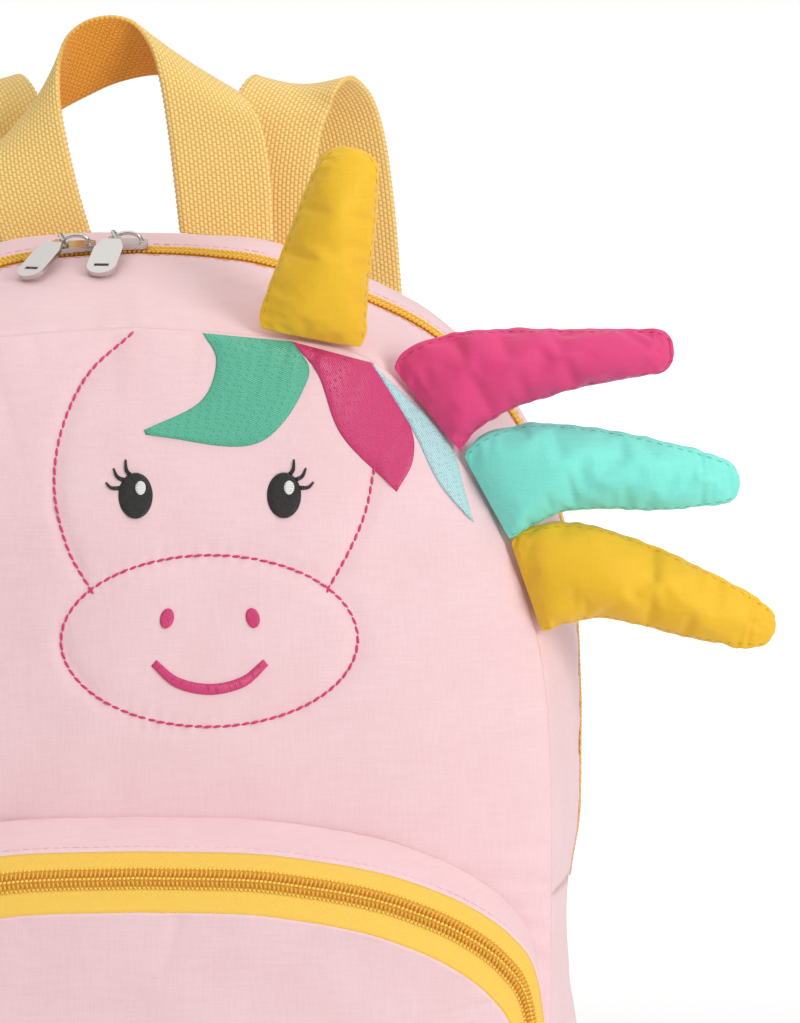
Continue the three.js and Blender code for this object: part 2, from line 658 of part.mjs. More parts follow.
// Webbing: the carry handle in front, and the two shoulder straps behind it
function addWebbing() {
  const gold = clothMaterial(COLOURS.webbing, 0.6);
  addPiece("carry_handle", handleGeometry(), gold);
  addPiece("strap_left", strapGeometry(-1), gold);
  addPiece("strap_right", strapGeometry(1), gold);
}

// A stuffed shape sewn into the front seam. Each row gives the shape's two edges, and fill is its
// thickness there as a share of the full one.
const STUFFED_SIDES = 16;
const STUFFED_ROUNDNESS = 0.8;
function stuffedSolid(rows, thickness) {
  const loops = rows.map(({ left, right, fill }) => {
    const a = new THREE.Vector3(left[0], STUFFED_Y, left[1]);
    const b = new THREE.Vector3(right[0], STUFFED_Y, right[1]);
    const middle = a.clone().add(b).divideScalar(2);
    const half = b.clone().sub(a).divideScalar(2);
    const loop = [];
    for (let j = 0; j < STUFFED_SIDES; j++) {
      const turn = (2 * Math.PI * j) / STUFFED_SIDES;
      const bulge = Math.sign(Math.sin(turn)) * Math.abs(Math.sin(turn)) ** STUFFED_ROUNDNESS;
      const point = middle.clone().addScaledVector(half, Math.cos(turn));
      point.y += (bulge * thickness * fill) / 2;
      loop.push(point);
    }
    return loop;
  });
  return loopSolid(loops);
}

// Edges of the horn and locks, from the root on the seam to the tip. Each row has one point of the upper
// or left edge and one of the lower or right edge: along is a share of the length from the root's
// middle, out a share of the root's width across it, and fill a share of the full thickness.
const HORN_EDGES = [
  { alongA: 0.006, outA: 0.5, alongB: 0.006, outB: -0.5, fill: 0.1 },
  { alongA: 0.13, outA: 0.525, alongB: 0.1, outB: -0.524, fill: 0.5 },
  { alongA: 0.289, outA: 0.491, alongB: 0.289, outB: -0.465, fill: 0.85 },
  { alongA: 0.436, outA: 0.446, alongB: 0.442, outB: -0.435, fill: 1 },
  { alongA: 0.638, outA: 0.392, alongB: 0.643, outB: -0.4, fill: 0.98 },
  { alongA: 0.795, outA: 0.338, alongB: 0.825, outB: -0.346, fill: 0.85 },
  { alongA: 0.89, outA: 0.293, alongB: 0.922, outB: -0.307, fill: 0.64 },
  { alongA: 0.952, outA: 0.217, alongB: 0.965, outB: -0.235, fill: 0.42 },
  { alongA: 0.999, outA: 0.103, alongB: 1, outB: -0.103, fill: 0.16 },
];
const UPPER_LOCK_EDGES = [
  { alongA: 0, outA: 0.5, alongB: 0, outB: -0.5, fill: 0.1 },
  { alongA: 0.05, outA: 0.61, alongB: 0.09, outB: -0.38, fill: 0.42 },
  { alongA: 0.16, outA: 0.655, alongB: 0.24, outB: -0.23, fill: 0.75 },
  { alongA: 0.344, outA: 0.59, alongB: 0.4, outB: -0.155, fill: 0.97 },
  { alongA: 0.602, outA: 0.441, alongB: 0.632, outB: -0.14, fill: 1 },
  { alongA: 0.862, outA: 0.288, alongB: 0.848, outB: -0.168, fill: 0.82 },
  { alongA: 0.955, outA: 0.218, alongB: 0.927, outB: -0.168, fill: 0.62 },
  { alongA: 0.99, outA: 0.133, alongB: 0.972, outB: -0.115, fill: 0.4 },
  { alongA: 1, outA: 0.043, alongB: 0.995, outB: -0.043, fill: 0.16 },
];
const LOWER_LOCK_EDGES = [
  { alongA: 0, outA: 0.5, alongB: 0, outB: -0.5, fill: 0.1 },
  { alongA: 0.03, outA: 0.62, alongB: 0.08, outB: -0.43, fill: 0.42 },
  { alongA: 0.1, outA: 0.745, alongB: 0.19, outB: -0.32, fill: 0.75 },
  { alongA: 0.22, outA: 0.79, alongB: 0.31, outB: -0.21, fill: 0.97 },
  { alongA: 0.45, outA: 0.69, alongB: 0.48, outB: -0.21, fill: 1 },
  { alongA: 0.68, outA: 0.52, alongB: 0.66, outB: -0.26, fill: 0.95 },
  { alongA: 0.85, outA: 0.36, alongB: 0.84, outB: -0.25, fill: 0.78 },
  { alongA: 0.96, outA: 0.215, alongB: 0.955, outB: -0.21, fill: 0.45 },
  { alongA: 1, outA: 0.065, alongB: 1, outB: -0.065, fill: 0.16 },
];

// Places on the front seam. The horn's root lies between two shares of the body's half width from the
// middle, each lock's between two shares of the body's height. lean turns the axis from straight out, in
// degrees.
const HORN = { rootLeft: 0.2624, rootRight: 0.4809, lean: 78 };
const LOCKS = [
  { name: "mane_magenta", edges: UPPER_LOCK_EDGES, rootTop: 0.8788, rootFoot: 0.8006, lean: 14 },
  { name: "mane_teal", edges: LOWER_LOCK_EDGES, rootTop: 0.7957, rootFoot: 0.7197, lean: 4 },
  { name: "mane_yellow", edges: LOWER_LOCK_EDGES, rootTop: 0.7151, rootFoot: 0.6332, lean: -9.4 },
];
const LOCK_COLOURS = {
  mane_magenta: COLOURS.magenta,
  mane_teal: COLOURS.teal,
  mane_yellow: COLOURS.horn,
};
// Within a sixth of its length a stuffed shape turns from the seam's direction to its own.
const ROOT_TURN = 6;

// The point of the front seam at a height on the right.
function seamPoint(z) {
  const outline = FRONT_OUTLINE.slice(0, HALF_STEPS + 1);
  const i = outline.findIndex((p) => p.z > z);
  const [a, b] = [outline[i - 1], outline[i]];
  return new THREE.Vector2(a.x + ((b.x - a.x) * (z - a.z)) / (b.z - a.z), z);
}

// Rows of a stuffed shape, from its root's two ends and the lean of its axis from +X.
function stuffedRows(edges, upper, lower, lean, length) {
  const turn = THREE.MathUtils.degToRad(lean);
  const axis = new THREE.Vector2(Math.cos(turn), Math.sin(turn));
  const side = new THREE.Vector2(-axis.y, axis.x);
  const width = upper.distanceTo(lower);
  const seamSide = upper.clone().sub(lower).divideScalar(width);
  const outwards = new THREE.Vector2(seamSide.y, -seamSide.x);
  const root = upper.clone().add(lower).divideScalar(2).addScaledVector(outwards, ROOT_BULGE);
  return edges.map(({ alongA, outA, alongB, outB, fill }) => {
    const point = (along, out) => {
      const onSeam = Math.max(1 - Math.max(along, 0) * ROOT_TURN, 0);
      const across = side.clone().lerp(seamSide, onSeam).normalize();
      const place = root.clone().addScaledVector(axis, along * length);
      place.addScaledVector(across, out * width);
      return [place.x, place.y];
    };
    return { left: point(alongA, outA), right: point(alongB, outB), fill };
  });
}

// Horn and mane: stuffed shapes sewn into the front seam
function addHornAndMane() {
  const [hornLeft, hornRight] = [HORN.rootLeft, HORN.rootRight].map((share) => {
    const x = (BODY_WIDTH / 2) * share;
    return new THREE.Vector2(x, topSurfaceZ(x, FRONT_Y));
  });
  const horn = stuffedRows(HORN_EDGES, hornLeft, hornRight, HORN.lean, HORN_LENGTH);
  addPiece("horn", stuffedSolid(horn, HORN_THICKNESS), clothMaterial(COLOURS.horn, 0.6));
  for (const { name, edges, rootTop, rootFoot, lean } of LOCKS) {
    const ends = [rootTop, rootFoot].map((share) => seamPoint(BODY_HEIGHT * share));
    const rows = stuffedRows(edges, ...ends, lean, LOCK_LENGTH);
    addPiece(name, stuffedSolid(rows, LOCK_THICKNESS), clothMaterial(LOCK_COLOURS[name], 0.6));
  }
}

// Solid modelling helpers for the metal parts
function toSolid(geometry) {
  const bare = new THREE.BufferGeometry();
  const loose = geometry.index ? geometry.toNonIndexed() : geometry;
  bare.setAttribute("position", loose.getAttribute("position"));
  const merged = mergeVertices(bare, 1e-4);
  return new wasm.Manifold(
    new wasm.Mesh({
      numProp: 3,
      vertProperties: new Float32Array(merged.getAttribute("position").array),
      triVerts: new Uint32Array(merged.index.array),
    }),
  );
}
function fromSolid(solid) {
  const mesh = solid.getMesh();
  const geometry = new THREE.BufferGeometry();
  geometry.setAttribute("position", new THREE.BufferAttribute(mesh.vertProperties, 3));
  geometry.setIndex([...mesh.triVerts]);
  geometry.computeVertexNormals();
  return geometry;
}
const merge = (...geometries) => fromSolid(geometries.map(toSolid).reduce((sum, solid) => sum.add(solid)));

// A slider's body and its crown, standing on z = 0 with the zip along X. cut is the cut corners' share of
// the width, and waist and nose are the narrower end's widths as shares of it.
const SLIDER_SHAPE = { cut: 0.22, waist: 0.8, nose: 0.5 };
function sliderGeometry() {
  const outline = new THREE.Shape();
  const [halfLength, halfWidth] = [SLIDER_LENGTH / 2, SLIDER_WIDTH / 2];
  const cut = SLIDER_WIDTH * SLIDER_SHAPE.cut;
  const [waist, nose] = [halfWidth * SLIDER_SHAPE.waist, halfWidth * SLIDER_SHAPE.nose];
  outline.moveTo(-halfLength, -halfWidth + cut);
  outline.lineTo(-halfLength + cut, -halfWidth);
  outline.lineTo(halfLength - cut, -waist);
  outline.lineTo(halfLength, -nose);
  outline.lineTo(halfLength, nose);
  outline.lineTo(halfLength - cut, waist);
  outline.lineTo(-halfLength + cut, halfWidth);
  outline.lineTo(-halfLength, halfWidth - cut);
  outline.closePath();
  const body = new THREE.ExtrudeGeometry(outline, { depth: SLIDER_HEIGHT, bevelEnabled: false });
  const arch = new THREE.CatmullRomCurve3(
    [0, 0.12, 0.25, 0.5, 0.75, 0.88, 1].map((share) => crownPoint(share)),
  );
  const section = new THREE.Shape().absarc(0, 0, CROWN_WIRE / 2, 0, 2 * Math.PI);
  const crown = new THREE.ExtrudeGeometry(section, { extrudePath: arch, steps: 12, curveSegments: 4 });
  return merge(body, crown);
}

// Middle of the crown's wire, from its left foot, a little inside the slider, to its right one.
const CROWN_SINK = 0.42;
const CROWN_SQUARENESS = 0.8;
function crownPoint(share) {
  const turn = Math.PI * (1 - share);
  const rise = CROWN_RISE - CROWN_WIRE / 2 + CROWN_SINK;
  const height = SLIDER_HEIGHT - CROWN_SINK + rise * Math.sin(turn) ** CROWN_SQUARENESS;
  return new THREE.Vector3(((CROWN_SPAN - CROWN_WIRE) / 2) * Math.cos(turn), 0, height);
}

// A flat tab that points along -Y from its neck, with a dished face and a slot near its round end.
// Widths are shares of the tab's, and places and lengths along it shares of its length.
const TAB_SHAPE = { shoulder: 0.62, neck: 0.36, slot: 0.5, slotPlace: 0.728, dish: 0.62 };
const TAB_DISH = { length: 0.5, place: 0.42, depth: 0.28 };
function tabPlate() {
  const outline = new THREE.Shape();
  const half = TAB_WIDTH / 2;
  outline.moveTo(-half * TAB_SHAPE.shoulder, 0);
  outline.lineTo(half * TAB_SHAPE.shoulder, 0);
  outline.lineTo(half, -half);
  outline.lineTo(half, -TAB_LENGTH + half);
  outline.absarc(0, -TAB_LENGTH + half, half, 0, -Math.PI, true);
  outline.lineTo(-half, -half);
  outline.closePath();
  const slot = new THREE.Path();
  const [slotHalf, slotY] = [half * TAB_SHAPE.slot, -TAB_LENGTH * TAB_SHAPE.slotPlace];
  slot.moveTo(-slotHalf, slotY);
  slot.lineTo(-slotHalf, slotY - TAB_THICKNESS);
  slot.lineTo(slotHalf, slotY - TAB_THICKNESS);
  slot.lineTo(slotHalf, slotY);
  slot.closePath();
  outline.holes.push(slot);
  const solid = { depth: TAB_THICKNESS, bevelEnabled: false, curveSegments: 10 };
  const plate = new THREE.ExtrudeGeometry(outline, solid);
  plate.translate(0, 0, -TAB_THICKNESS / 2);
  const [dishWidth, dishLength] = [TAB_WIDTH * TAB_SHAPE.dish, TAB_LENGTH * TAB_DISH.length];
  const dish = new THREE.BoxGeometry(dishWidth, dishLength, TAB_THICKNESS);
  dish.translate(0, -TAB_LENGTH * TAB_DISH.place, TAB_THICKNESS * (1 - TAB_DISH.depth));
  return toSolid(plate).subtract(toSolid(dish));
}

// A tab in place: its eye runs round the crown's wire, its neck clears the slider and its plate lies
// down on the front gusset. eyeShare is the eye's place along the wire and yaw turns the tab left.
const WIRE_STEP = 0.02;
const TAB_RESTS_AT = 0.9;
function tabGeometry({ seat, eyeShare, yaw }) {
  const eye = crownPoint(eyeShare).applyMatrix4(seat);
  const [before, after] = [crownPoint(eyeShare - WIRE_STEP), crownPoint(eyeShare + WIRE_STEP)];
  const along = after.sub(before).transformDirection(seat);
  const ring = new THREE.TorusGeometry((TAB_EYE + TAB_WIRE) / 2, TAB_WIRE / 2, 6, 16);
  ring.applyQuaternion(new THREE.Quaternion().setFromUnitVectors(new THREE.Vector3(0, 0, 1), along));
  ring.translate(eye.x, eye.y, eye.z);
  const turn = THREE.MathUtils.degToRad(yaw);
  const forward = new THREE.Vector3(-Math.sin(turn), -Math.cos(turn), 0);
  const lean = (direction, pitch) =>
    direction.clone().multiplyScalar(Math.cos(pitch)).add(new THREE.Vector3(0, 0, -Math.sin(pitch)));
  const neckDirection = lean(forward, THREE.MathUtils.degToRad(TAB_NECK_PITCH));
  const joint = eye.clone().addScaledVector(neckDirection, TAB_NECK);
  const far = joint.clone().addScaledVector(forward, TAB_LENGTH * TAB_RESTS_AT);
  const rest = topSurfaceZ(far.x, far.y) + TAB_THICKNESS / 2 + TAB_REST_GAP;
  const plateDirection = lean(forward, Math.asin((joint.z - rest) / TAB_LENGTH));
  const place = (solid, origin, direction) => {
    const across = new THREE.Vector3(0, 0, 1).cross(direction).negate().normalize();
    const up = across.clone().cross(direction.clone().negate());
    const basis = new THREE.Matrix4().makeBasis(across, direction.clone().negate(), up).setPosition(origin);
    return solid.transform(basis.elements);
  };
  const neck = new THREE.BoxGeometry(TAB_WIDTH * TAB_SHAPE.neck, TAB_NECK - TAB_EYE / 2, TAB_WIRE);
  neck.translate(0, -(TAB_NECK + TAB_EYE / 2) / 2 - TAB_WIRE / 10, 0);
  const solid = toSolid(ring)
    .add(place(toSolid(neck), eye, neckDirection))
    .add(place(tabPlate(), joint, plateDirection));
  return fromSolid(solid);
}

// Height of the gusset's outer face over a place near the middle of the top.
function topSurfaceZ(x, y) {
  const outline = bodyOutline(y, 0).slice(0, HALF_STEPS + 1).reverse();
  const i = Math.max(outline.findIndex((p) => p.x >= Math.abs(x)), 1);
  const [a, b] = [outline[i - 1], outline[i]];
  return a.z + ((b.z - a.z) * (Math.abs(x) - a.x)) / (b.x - a.x);
}

// The frame of a slider that lies on the main zip at x: X along the zip and Z off the cloth.
function zipSeat(x) {
  const [halfLength, halfWidth] = [SLIDER_LENGTH / 2, SLIDER_WIDTH / 2];
  const [west, east] = [topSurfaceZ(x - halfLength, ZIP_Y), topSurfaceZ(x + halfLength, ZIP_Y)];
  const [south, north] = [topSurfaceZ(x, ZIP_Y - halfWidth), topSurfaceZ(x, ZIP_Y + halfWidth)];
  const along = new THREE.Vector3(SLIDER_LENGTH, 0, east - west).normalize();
  const off = along.clone().cross(new THREE.Vector3(0, SLIDER_WIDTH, north - south)).normalize();
  const seat = new THREE.Vector3(x, ZIP_Y, topSurfaceZ(x, ZIP_Y)).addScaledVector(off, SLIDER_SEAT_GAP);
  return new THREE.Matrix4().makeBasis(along, off.clone().cross(along), off).setPosition(seat);
}

const SLIDERS = [
  { side: "left", x: -19.2, eyeShare: 0.22, yaw: 34 },
  { side: "right", x: -3, eyeShare: 0.22, yaw: 15 },
];

// The frame of the pocket's slider, this many columns from the left end of its zip, X along the coil.
const POCKET_SLIDER_COLUMN = 2;
function pocketSeat() {
  const column = 2 * HALF_STEPS - JOIN_STEP - POCKET_SLIDER_COLUMN;
  const fold = 1 + (UPPER_TAPE_SHARE + COIL_SHARE) / 2;
  const ring = pocketRing(fold, 0);
  const along = ring[column - 1].clone().sub(ring[column + 1]).normalize();
  const [above, below] = [pocketRing(1, 0)[column], pocketRing(2, 0)[column]];
  const across = above.sub(below);
  const off = along.clone().cross(across).normalize();
  const seat = ring[column].clone().addScaledVector(off, POCKET_SLIDER_GAP);
  return new THREE.Matrix4().makeBasis(along, off.clone().cross(along), off).setPosition(seat);
}

// Sliders of the main zip with their tabs, and the plain slider at the left end of the pocket's zip,
// whose tab lies flat on it from this share of its length
const PLAIN_TAB_PLACE = 0.2;
function addSliders() {
  for (const { side, x, eyeShare, yaw } of SLIDERS) {
    const seat = zipSeat(x);
    addPiece(`slider_${side}`, sliderGeometry().applyMatrix4(seat), metalMaterial());
    addPiece(`pull_tab_${side}`, tabGeometry({ seat, eyeShare, yaw }), metalMaterial());
  }
  const plate = tabPlate().rotate([0, 0, -90]);
  const flat = plate.translate([-SLIDER_LENGTH * PLAIN_TAB_PLACE, 0, SLIDER_HEIGHT]);
  const pocketSlider = fromSolid(toSolid(sliderGeometry()).add(flat));
  addPiece("pocket_slider", pocketSlider.applyMatrix4(pocketSeat()), metalMaterial());
}

addGussets();
addPanels();
addPocket();
addWebbing();
addHornAndMane();
addSliders();

export default backpack;
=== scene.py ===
import math
from itertools import product

import bmesh
import bpy
import numpy as np
from mathutils import Matrix, Vector
from mathutils.bvhtree import BVHTree


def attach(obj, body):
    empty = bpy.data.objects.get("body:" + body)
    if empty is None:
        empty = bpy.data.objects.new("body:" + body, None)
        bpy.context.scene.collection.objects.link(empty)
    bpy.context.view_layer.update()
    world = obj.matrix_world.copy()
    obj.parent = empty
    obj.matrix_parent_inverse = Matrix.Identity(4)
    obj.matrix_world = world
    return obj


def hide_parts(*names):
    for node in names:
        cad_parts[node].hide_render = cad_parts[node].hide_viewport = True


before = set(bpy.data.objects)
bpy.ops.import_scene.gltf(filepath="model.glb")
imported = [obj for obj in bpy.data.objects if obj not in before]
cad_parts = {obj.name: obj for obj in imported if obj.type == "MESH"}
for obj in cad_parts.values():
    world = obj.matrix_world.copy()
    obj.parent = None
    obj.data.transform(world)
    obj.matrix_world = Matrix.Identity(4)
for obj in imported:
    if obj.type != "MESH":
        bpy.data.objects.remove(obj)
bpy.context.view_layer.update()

# Studio
# A pale floor that runs off into a white background, a soft light on the right, a weaker one on the
# left, a sky that is bright above and dim round the horizon, and a long lens a little above the bag's middle.
EYE = Vector((0, -1.78658, 0.38936))
PITCH = math.radians(7)
PHOTO_WIDTH, PHOTO_HEIGHT = 800, 1023
AXIS_ACROSS, AXIS_DOWN = 137, 727.9
FOCAL_PIXELS = 5695.2
SENSOR = 36
FLOOR_REACH = 8
GLOW_FROM, GLOW_FULL_AT, FULL_GLOW = 0.1, 1.1, 0.6
SKY_DIM_BELOW, SKY_BRIGHT_ABOVE, SKY_DIM, SKY_BRIGHT = 0.1, 0.85, 0.1, 1.15
LIT_PLACE = (0, 0, 0.2)


def linear(hex_colour):
    """The linear colour of an sRGB hex value."""
    parts = [int(hex_colour[i : i + 2], 16) / 255 for i in (1, 3, 5)]
    return [c / 12.92 if c <= 0.04045 else ((c + 0.055) / 1.055) ** 2.4 for c in parts] + [1]


def add(tree, kind, inputs=(), **settings):
    """Adds a node with its settings, and sets or links its inputs."""
    node = tree.nodes.new(kind)
    for name, value in settings.items():
        setattr(node, name, value)
    for name, value in dict(inputs).items():
        if isinstance(value, bpy.types.NodeSocket):
            tree.links.new(value, node.inputs[name])
        else:
            node.inputs[name].default_value = value
    return node


def new_material(name):
    """A material with an empty node tree and an output."""
    material = bpy.data.materials.new(name)
    material.use_nodes = True
    material.node_tree.nodes.clear()
    return material, material.node_tree


def make_camera():
    """A long lens at the photograph's angle, aimed so that no shift is needed."""
    forward = Vector((0, math.cos(PITCH), -math.sin(PITCH)))
    up = Vector((0, math.sin(PITCH), math.cos(PITCH)))
    right = Vector((1, 0, 0))
    look = forward + right * ((PHOTO_WIDTH / 2 - AXIS_ACROSS) / FOCAL_PIXELS)
    look += up * ((AXIS_DOWN - PHOTO_HEIGHT / 2) / FOCAL_PIXELS)
    look.normalize()
    side = (right - look * right.dot(look)).normalized()
    camera = bpy.data.objects.new("camera", bpy.data.cameras.new("camera"))
    camera.data.sensor_width = SENSOR
    camera.data.lens = FOCAL_PIXELS * SENSOR / PHOTO_HEIGHT
    camera.data.clip_end = 50
    turned = Matrix((side, side.cross(look), -look)).transposed().to_4x4()
    camera.matrix_world = Matrix.Translation(EYE) @ turned
    bpy.context.scene.collection.objects.link(camera)
    bpy.context.scene.camera = camera


def make_floor():
    """The floor. It glows behind the bag, where the photograph's backdrop is pure white."""
    mesh = bpy.data.meshes.new("floor")
    corners = [(x * FLOOR_REACH, y * FLOOR_REACH, 0) for x, y in ((-1, -1), (1, -1), (1, 1), (-1, 1))]
    mesh.from_pydata(corners, [], [(0, 1, 2, 3)])
    material, tree = new_material("White_painted_floor")
    place = add(tree, "ShaderNodeTexCoord").outputs["Object"]
    back = add(tree, "ShaderNodeSeparateXYZ", {"Vector": place}).outputs["Y"]
    glow = add(tree, "ShaderNodeMapRange", {
        "Value": back, "From Min": GLOW_FROM, "From Max": GLOW_FULL_AT, "To Max": FULL_GLOW})
    surface = add(tree, "ShaderNodeBsdfPrincipled", {
        "Base Color": linear("#e6e6e6"), "Roughness": 0.9, "Emission Color": (1, 1, 1, 1),
        "Emission Strength": glow.outputs[0]})
    add(tree, "ShaderNodeOutputMaterial", {"Surface": surface.outputs["BSDF"]})
    mesh.materials.append(material)
    floor = bpy.data.objects.new("floor", mesh)
    bpy.context.scene.collection.objects.link(floor)


def make_light(name, place, size, power):
    light = bpy.data.lights.new(name, "AREA")
    light.shape = "RECTANGLE"
    light.size, light.size_y = size, size
    light.energy = power
    lamp = bpy.data.objects.new(name, light)
    lamp.location = place
    lamp.rotation_euler = (Vector(LIT_PLACE) - Vector(place)).to_track_quat("-Z", "Y").to_euler()
    bpy.context.scene.collection.objects.link(lamp)


def make_sky():
    """A plain white sky to the camera, which lights the bag mostly from above."""
    sky = bpy.data.worlds.new("studio")
    sky.use_nodes = True
    tree = sky.node_tree
    tree.nodes.clear()
    direction = add(tree, "ShaderNodeTexCoord").outputs["Generated"]
    height = add(tree, "ShaderNodeSeparateXYZ", {"Vector": direction}).outputs["Z"]
    strength = add(tree, "ShaderNodeMapRange", {
        "Value": height, "From Min": SKY_DIM_BELOW, "From Max": SKY_BRIGHT_ABOVE, "To Min": SKY_DIM,
        "To Max": SKY_BRIGHT})
    light = add(tree, "ShaderNodeBackground", {"Color": (1, 1, 1, 1), "Strength": strength.outputs[0]})
    plain = add(tree, "ShaderNodeBackground", {"Color": (1, 1, 1, 1), "Strength": 1.0})
    seen = add(tree, "ShaderNodeLightPath").outputs["Is Camera Ray"]
    both = add(tree, "ShaderNodeMixShader", {0: seen, 1: light.outputs[0], 2: plain.outputs[0]})
    add(tree, "ShaderNodeOutputWorld", {"Surface": both.outputs[0]})
    bpy.context.scene.world = sky


make_camera()
make_floor()
make_light("key_light", (1.65, -1.6, 0.9), size=0.9, power=25)
make_light("fill_light", (-1.3, -1.9, 1.0), size=1.5, power=2)
bpy.context.scene.view_settings.view_transform = "Standard"
make_sky()

# Gussets
# Pink polyester strips round the bag, 3 mm thick with their backing: two over the top with the main zip
# between them and one across the bottom. Their edges are turned in and sewn.
MM = 0.001
BODY_WIDTH, BODY_HEIGHT, BODY_DEPTH = 282, 325, 100
BOTTOM_CORNER = 38
GUSSET_WALL = 3
GUSSET_JOIN_HEIGHT = 124
WAIST_DENT, WAIST_HEIGHT, WAIST_REACH, WAIST_FULL_FROM = 3.5, 107, 28, 0.4
SHOULDER_DROP = 0.44
FRONT_Y, REAR_Y, ZIP_Y = -BODY_DEPTH / 2, BODY_DEPTH / 2, 0
MAIN_ZIP_WIDTH = 6.4
SEAM_GAP = 0.3
PINK = "#f0cfd2"

# Shoulder shapes as (share of the half width, share of the drop) from the top centre to the side.
FRONT_SHOULDER = [(0, 0), (0.22, 0.012), (0.44, 0.035), (0.56, 0.07), (0.65, 0.14), (0.75, 0.255),
                  (0.855, 0.41), (0.95, 0.63), (0.985, 0.8), (1, 1)]
ZIP_SHOULDER = [(0, 0), (0.16, 0.01), (0.31, 0.037), (0.52, 0.113), (0.68, 0.195), (0.84, 0.355),
                (0.95, 0.57), (0.99, 0.79), (1, 1)]
REAR_SHOULDER = [(0, 0), (0.16, 0.003), (0.31, 0.02), (0.53, 0.1), (0.67, 0.178), (0.8, 0.295),
                 (0.9, 0.46), (0.975, 0.7), (1, 1)]
# Sections from the front seam to the rear one: share of the depth, then width, top, bottom lift and the
# weights of the front and rear shoulder shapes.
SECTIONS = np.array([
    (0, 0.908, 0.9215, 0.24, 1, 0),
    (0.14, 0.936, 0.943, 0.08, 0.75, 0),
    (0.28, 0.963, 0.962, 0, 0.45, 0),
    (0.42, 0.987, 0.98, 0, 0.1, 0),
    (0.55, 0.998, 0.993, 0, 0, 0.6),
    (0.68, 1, 1, 0, 0, 1),
    (0.84, 0.996, 0.996, 0, 0, 1),
    (0.94, 0.979, 0.989, 0.06, 0, 1),
    (1, 0.95, 0.977, 0.21, 0, 0.9),
])
REFINE = 10
STEPS = {"bottom": 3 * REFINE, "corner": 4 * REFINE, "lower": 4 * REFINE, "upper": 2 * REFINE,
         "shoulder": 13 * REFINE}
HALF = sum(STEPS.values())
JOIN = STEPS["bottom"] + STEPS["corner"] + STEPS["lower"]


def read_rows(rows, at):
    """Every column of a table of rows at a value of its first column, along a smooth curve."""
    keys = rows[:, 0]
    at = min(max(at, keys[0]), keys[-1])
    i = min(int(np.searchsorted(keys, at, "right")) - 1, len(rows) - 2)
    def slope(k):
        a, b = rows[max(k - 1, 0)], rows[min(k + 1, len(rows) - 1)]
        return (b - a) / (b[0] - a[0])
    span = keys[i + 1] - keys[i]
    t = (at - keys[i]) / span
    rise = t * t * (3 - 2 * t)
    return (rows[i] * (1 - rise) + rows[i + 1] * rise
            + slope(i) * span * t * (1 - t) ** 2 - slope(i + 1) * span * t * t * (1 - t))


def smooth_path(rows, count):
    """Points of a smooth curve through the rows, evenly spaced in the rows' own order."""
    rows = np.asarray(rows, float)
    t = np.linspace(0, len(rows) - 1, count)
    i = np.minimum(t.astype(int), len(rows) - 2)
    f = (t - i)[:, None]
    ext = np.vstack([2 * rows[0] - rows[1], rows, 2 * rows[-1] - rows[-2]])
    a, b, c, d = ext[i], ext[i + 1], ext[i + 2], ext[i + 3]
    return 0.5 * (2 * b + (c - a) * f + (2 * a - 5 * b + 4 * c - d) * f**2 + (3 * b - a - 3 * c + d) * f**3)


def even_path(points, count):
    """The same line with its points evenly spaced along it."""
    steps = np.r_[0, np.cumsum(np.linalg.norm(np.diff(points, axis=0), axis=1))]
    at = np.linspace(0, steps[-1], count)
    return np.stack([np.interp(at, steps, points[:, k]) for k in range(points.shape[1])], axis=1)


def shoulder_points(rows):
    return even_path(smooth_path(rows[::-1], 400), STEPS["shoulder"] + 1)


BODY_SHOULDERS = [shoulder_points(rows) for rows in (FRONT_SHOULDER, ZIP_SHOULDER, REAR_SHOULDER)]


def half_outline(half_width, top, bottom, corner, drop, join, shoulder):
    """The right half of an outline from the bottom centre to the top centre."""
    flat = half_width - corner
    turn = np.pi / 2 * np.arange(STEPS["corner"]) / STEPS["corner"]
    floor_x = flat * np.arange(STEPS["bottom"]) / STEPS["bottom"]
    foot, neck = bottom + corner, top - drop
    low = foot + (join - foot) * np.arange(STEPS["lower"]) / STEPS["lower"]
    high = join + (neck - join) * np.arange(STEPS["upper"]) / STEPS["upper"]
    x = np.concatenate([floor_x, flat + corner * np.sin(turn), np.full(len(low) + len(high), half_width),
                        half_width * shoulder[:, 0]])
    z = np.concatenate([np.full(len(floor_x), bottom), bottom + corner * (1 - np.cos(turn)), low, high,
                        top - drop * shoulder[:, 1]])
    return np.stack([x, z], axis=1)


def whole_outline(half):
    """The right half upwards, then the left half down to the bottom centre, without repeating it."""
    return np.vstack([half, half[-2:0:-1] * (-1, 1)])


def body_ring(y, inset=0.0):
    """The body's outline at a depth."""
    _, width, top, lift, front, rear = read_rows(SECTIONS, (y - FRONT_Y) / BODY_DEPTH)
    front, rear, lift = (min(max(v, 0), 1) for v in (front, rear, lift))
    a, b, c = BODY_SHOULDERS
    shoulder = front * a + (1 - front - rear) * b + rear * c
    half = half_outline(BODY_WIDTH / 2 * width - inset, BODY_HEIGHT * top - inset,
                        BOTTOM_CORNER * lift + inset, BOTTOM_CORNER - inset,
                        BODY_HEIGHT * SHOULDER_DROP - inset, GUSSET_JOIN_HEIGHT, shoulder)
    away = (half[:, 1] - WAIST_HEIGHT) / WAIST_REACH
    dent = np.exp(-away**4) * np.minimum(half[:, 0] / (BODY_WIDTH * WAIST_FULL_FROM), 1)
    half[:, 0] -= WAIST_DENT * dent * (1 - front)
    return whole_outline(half)


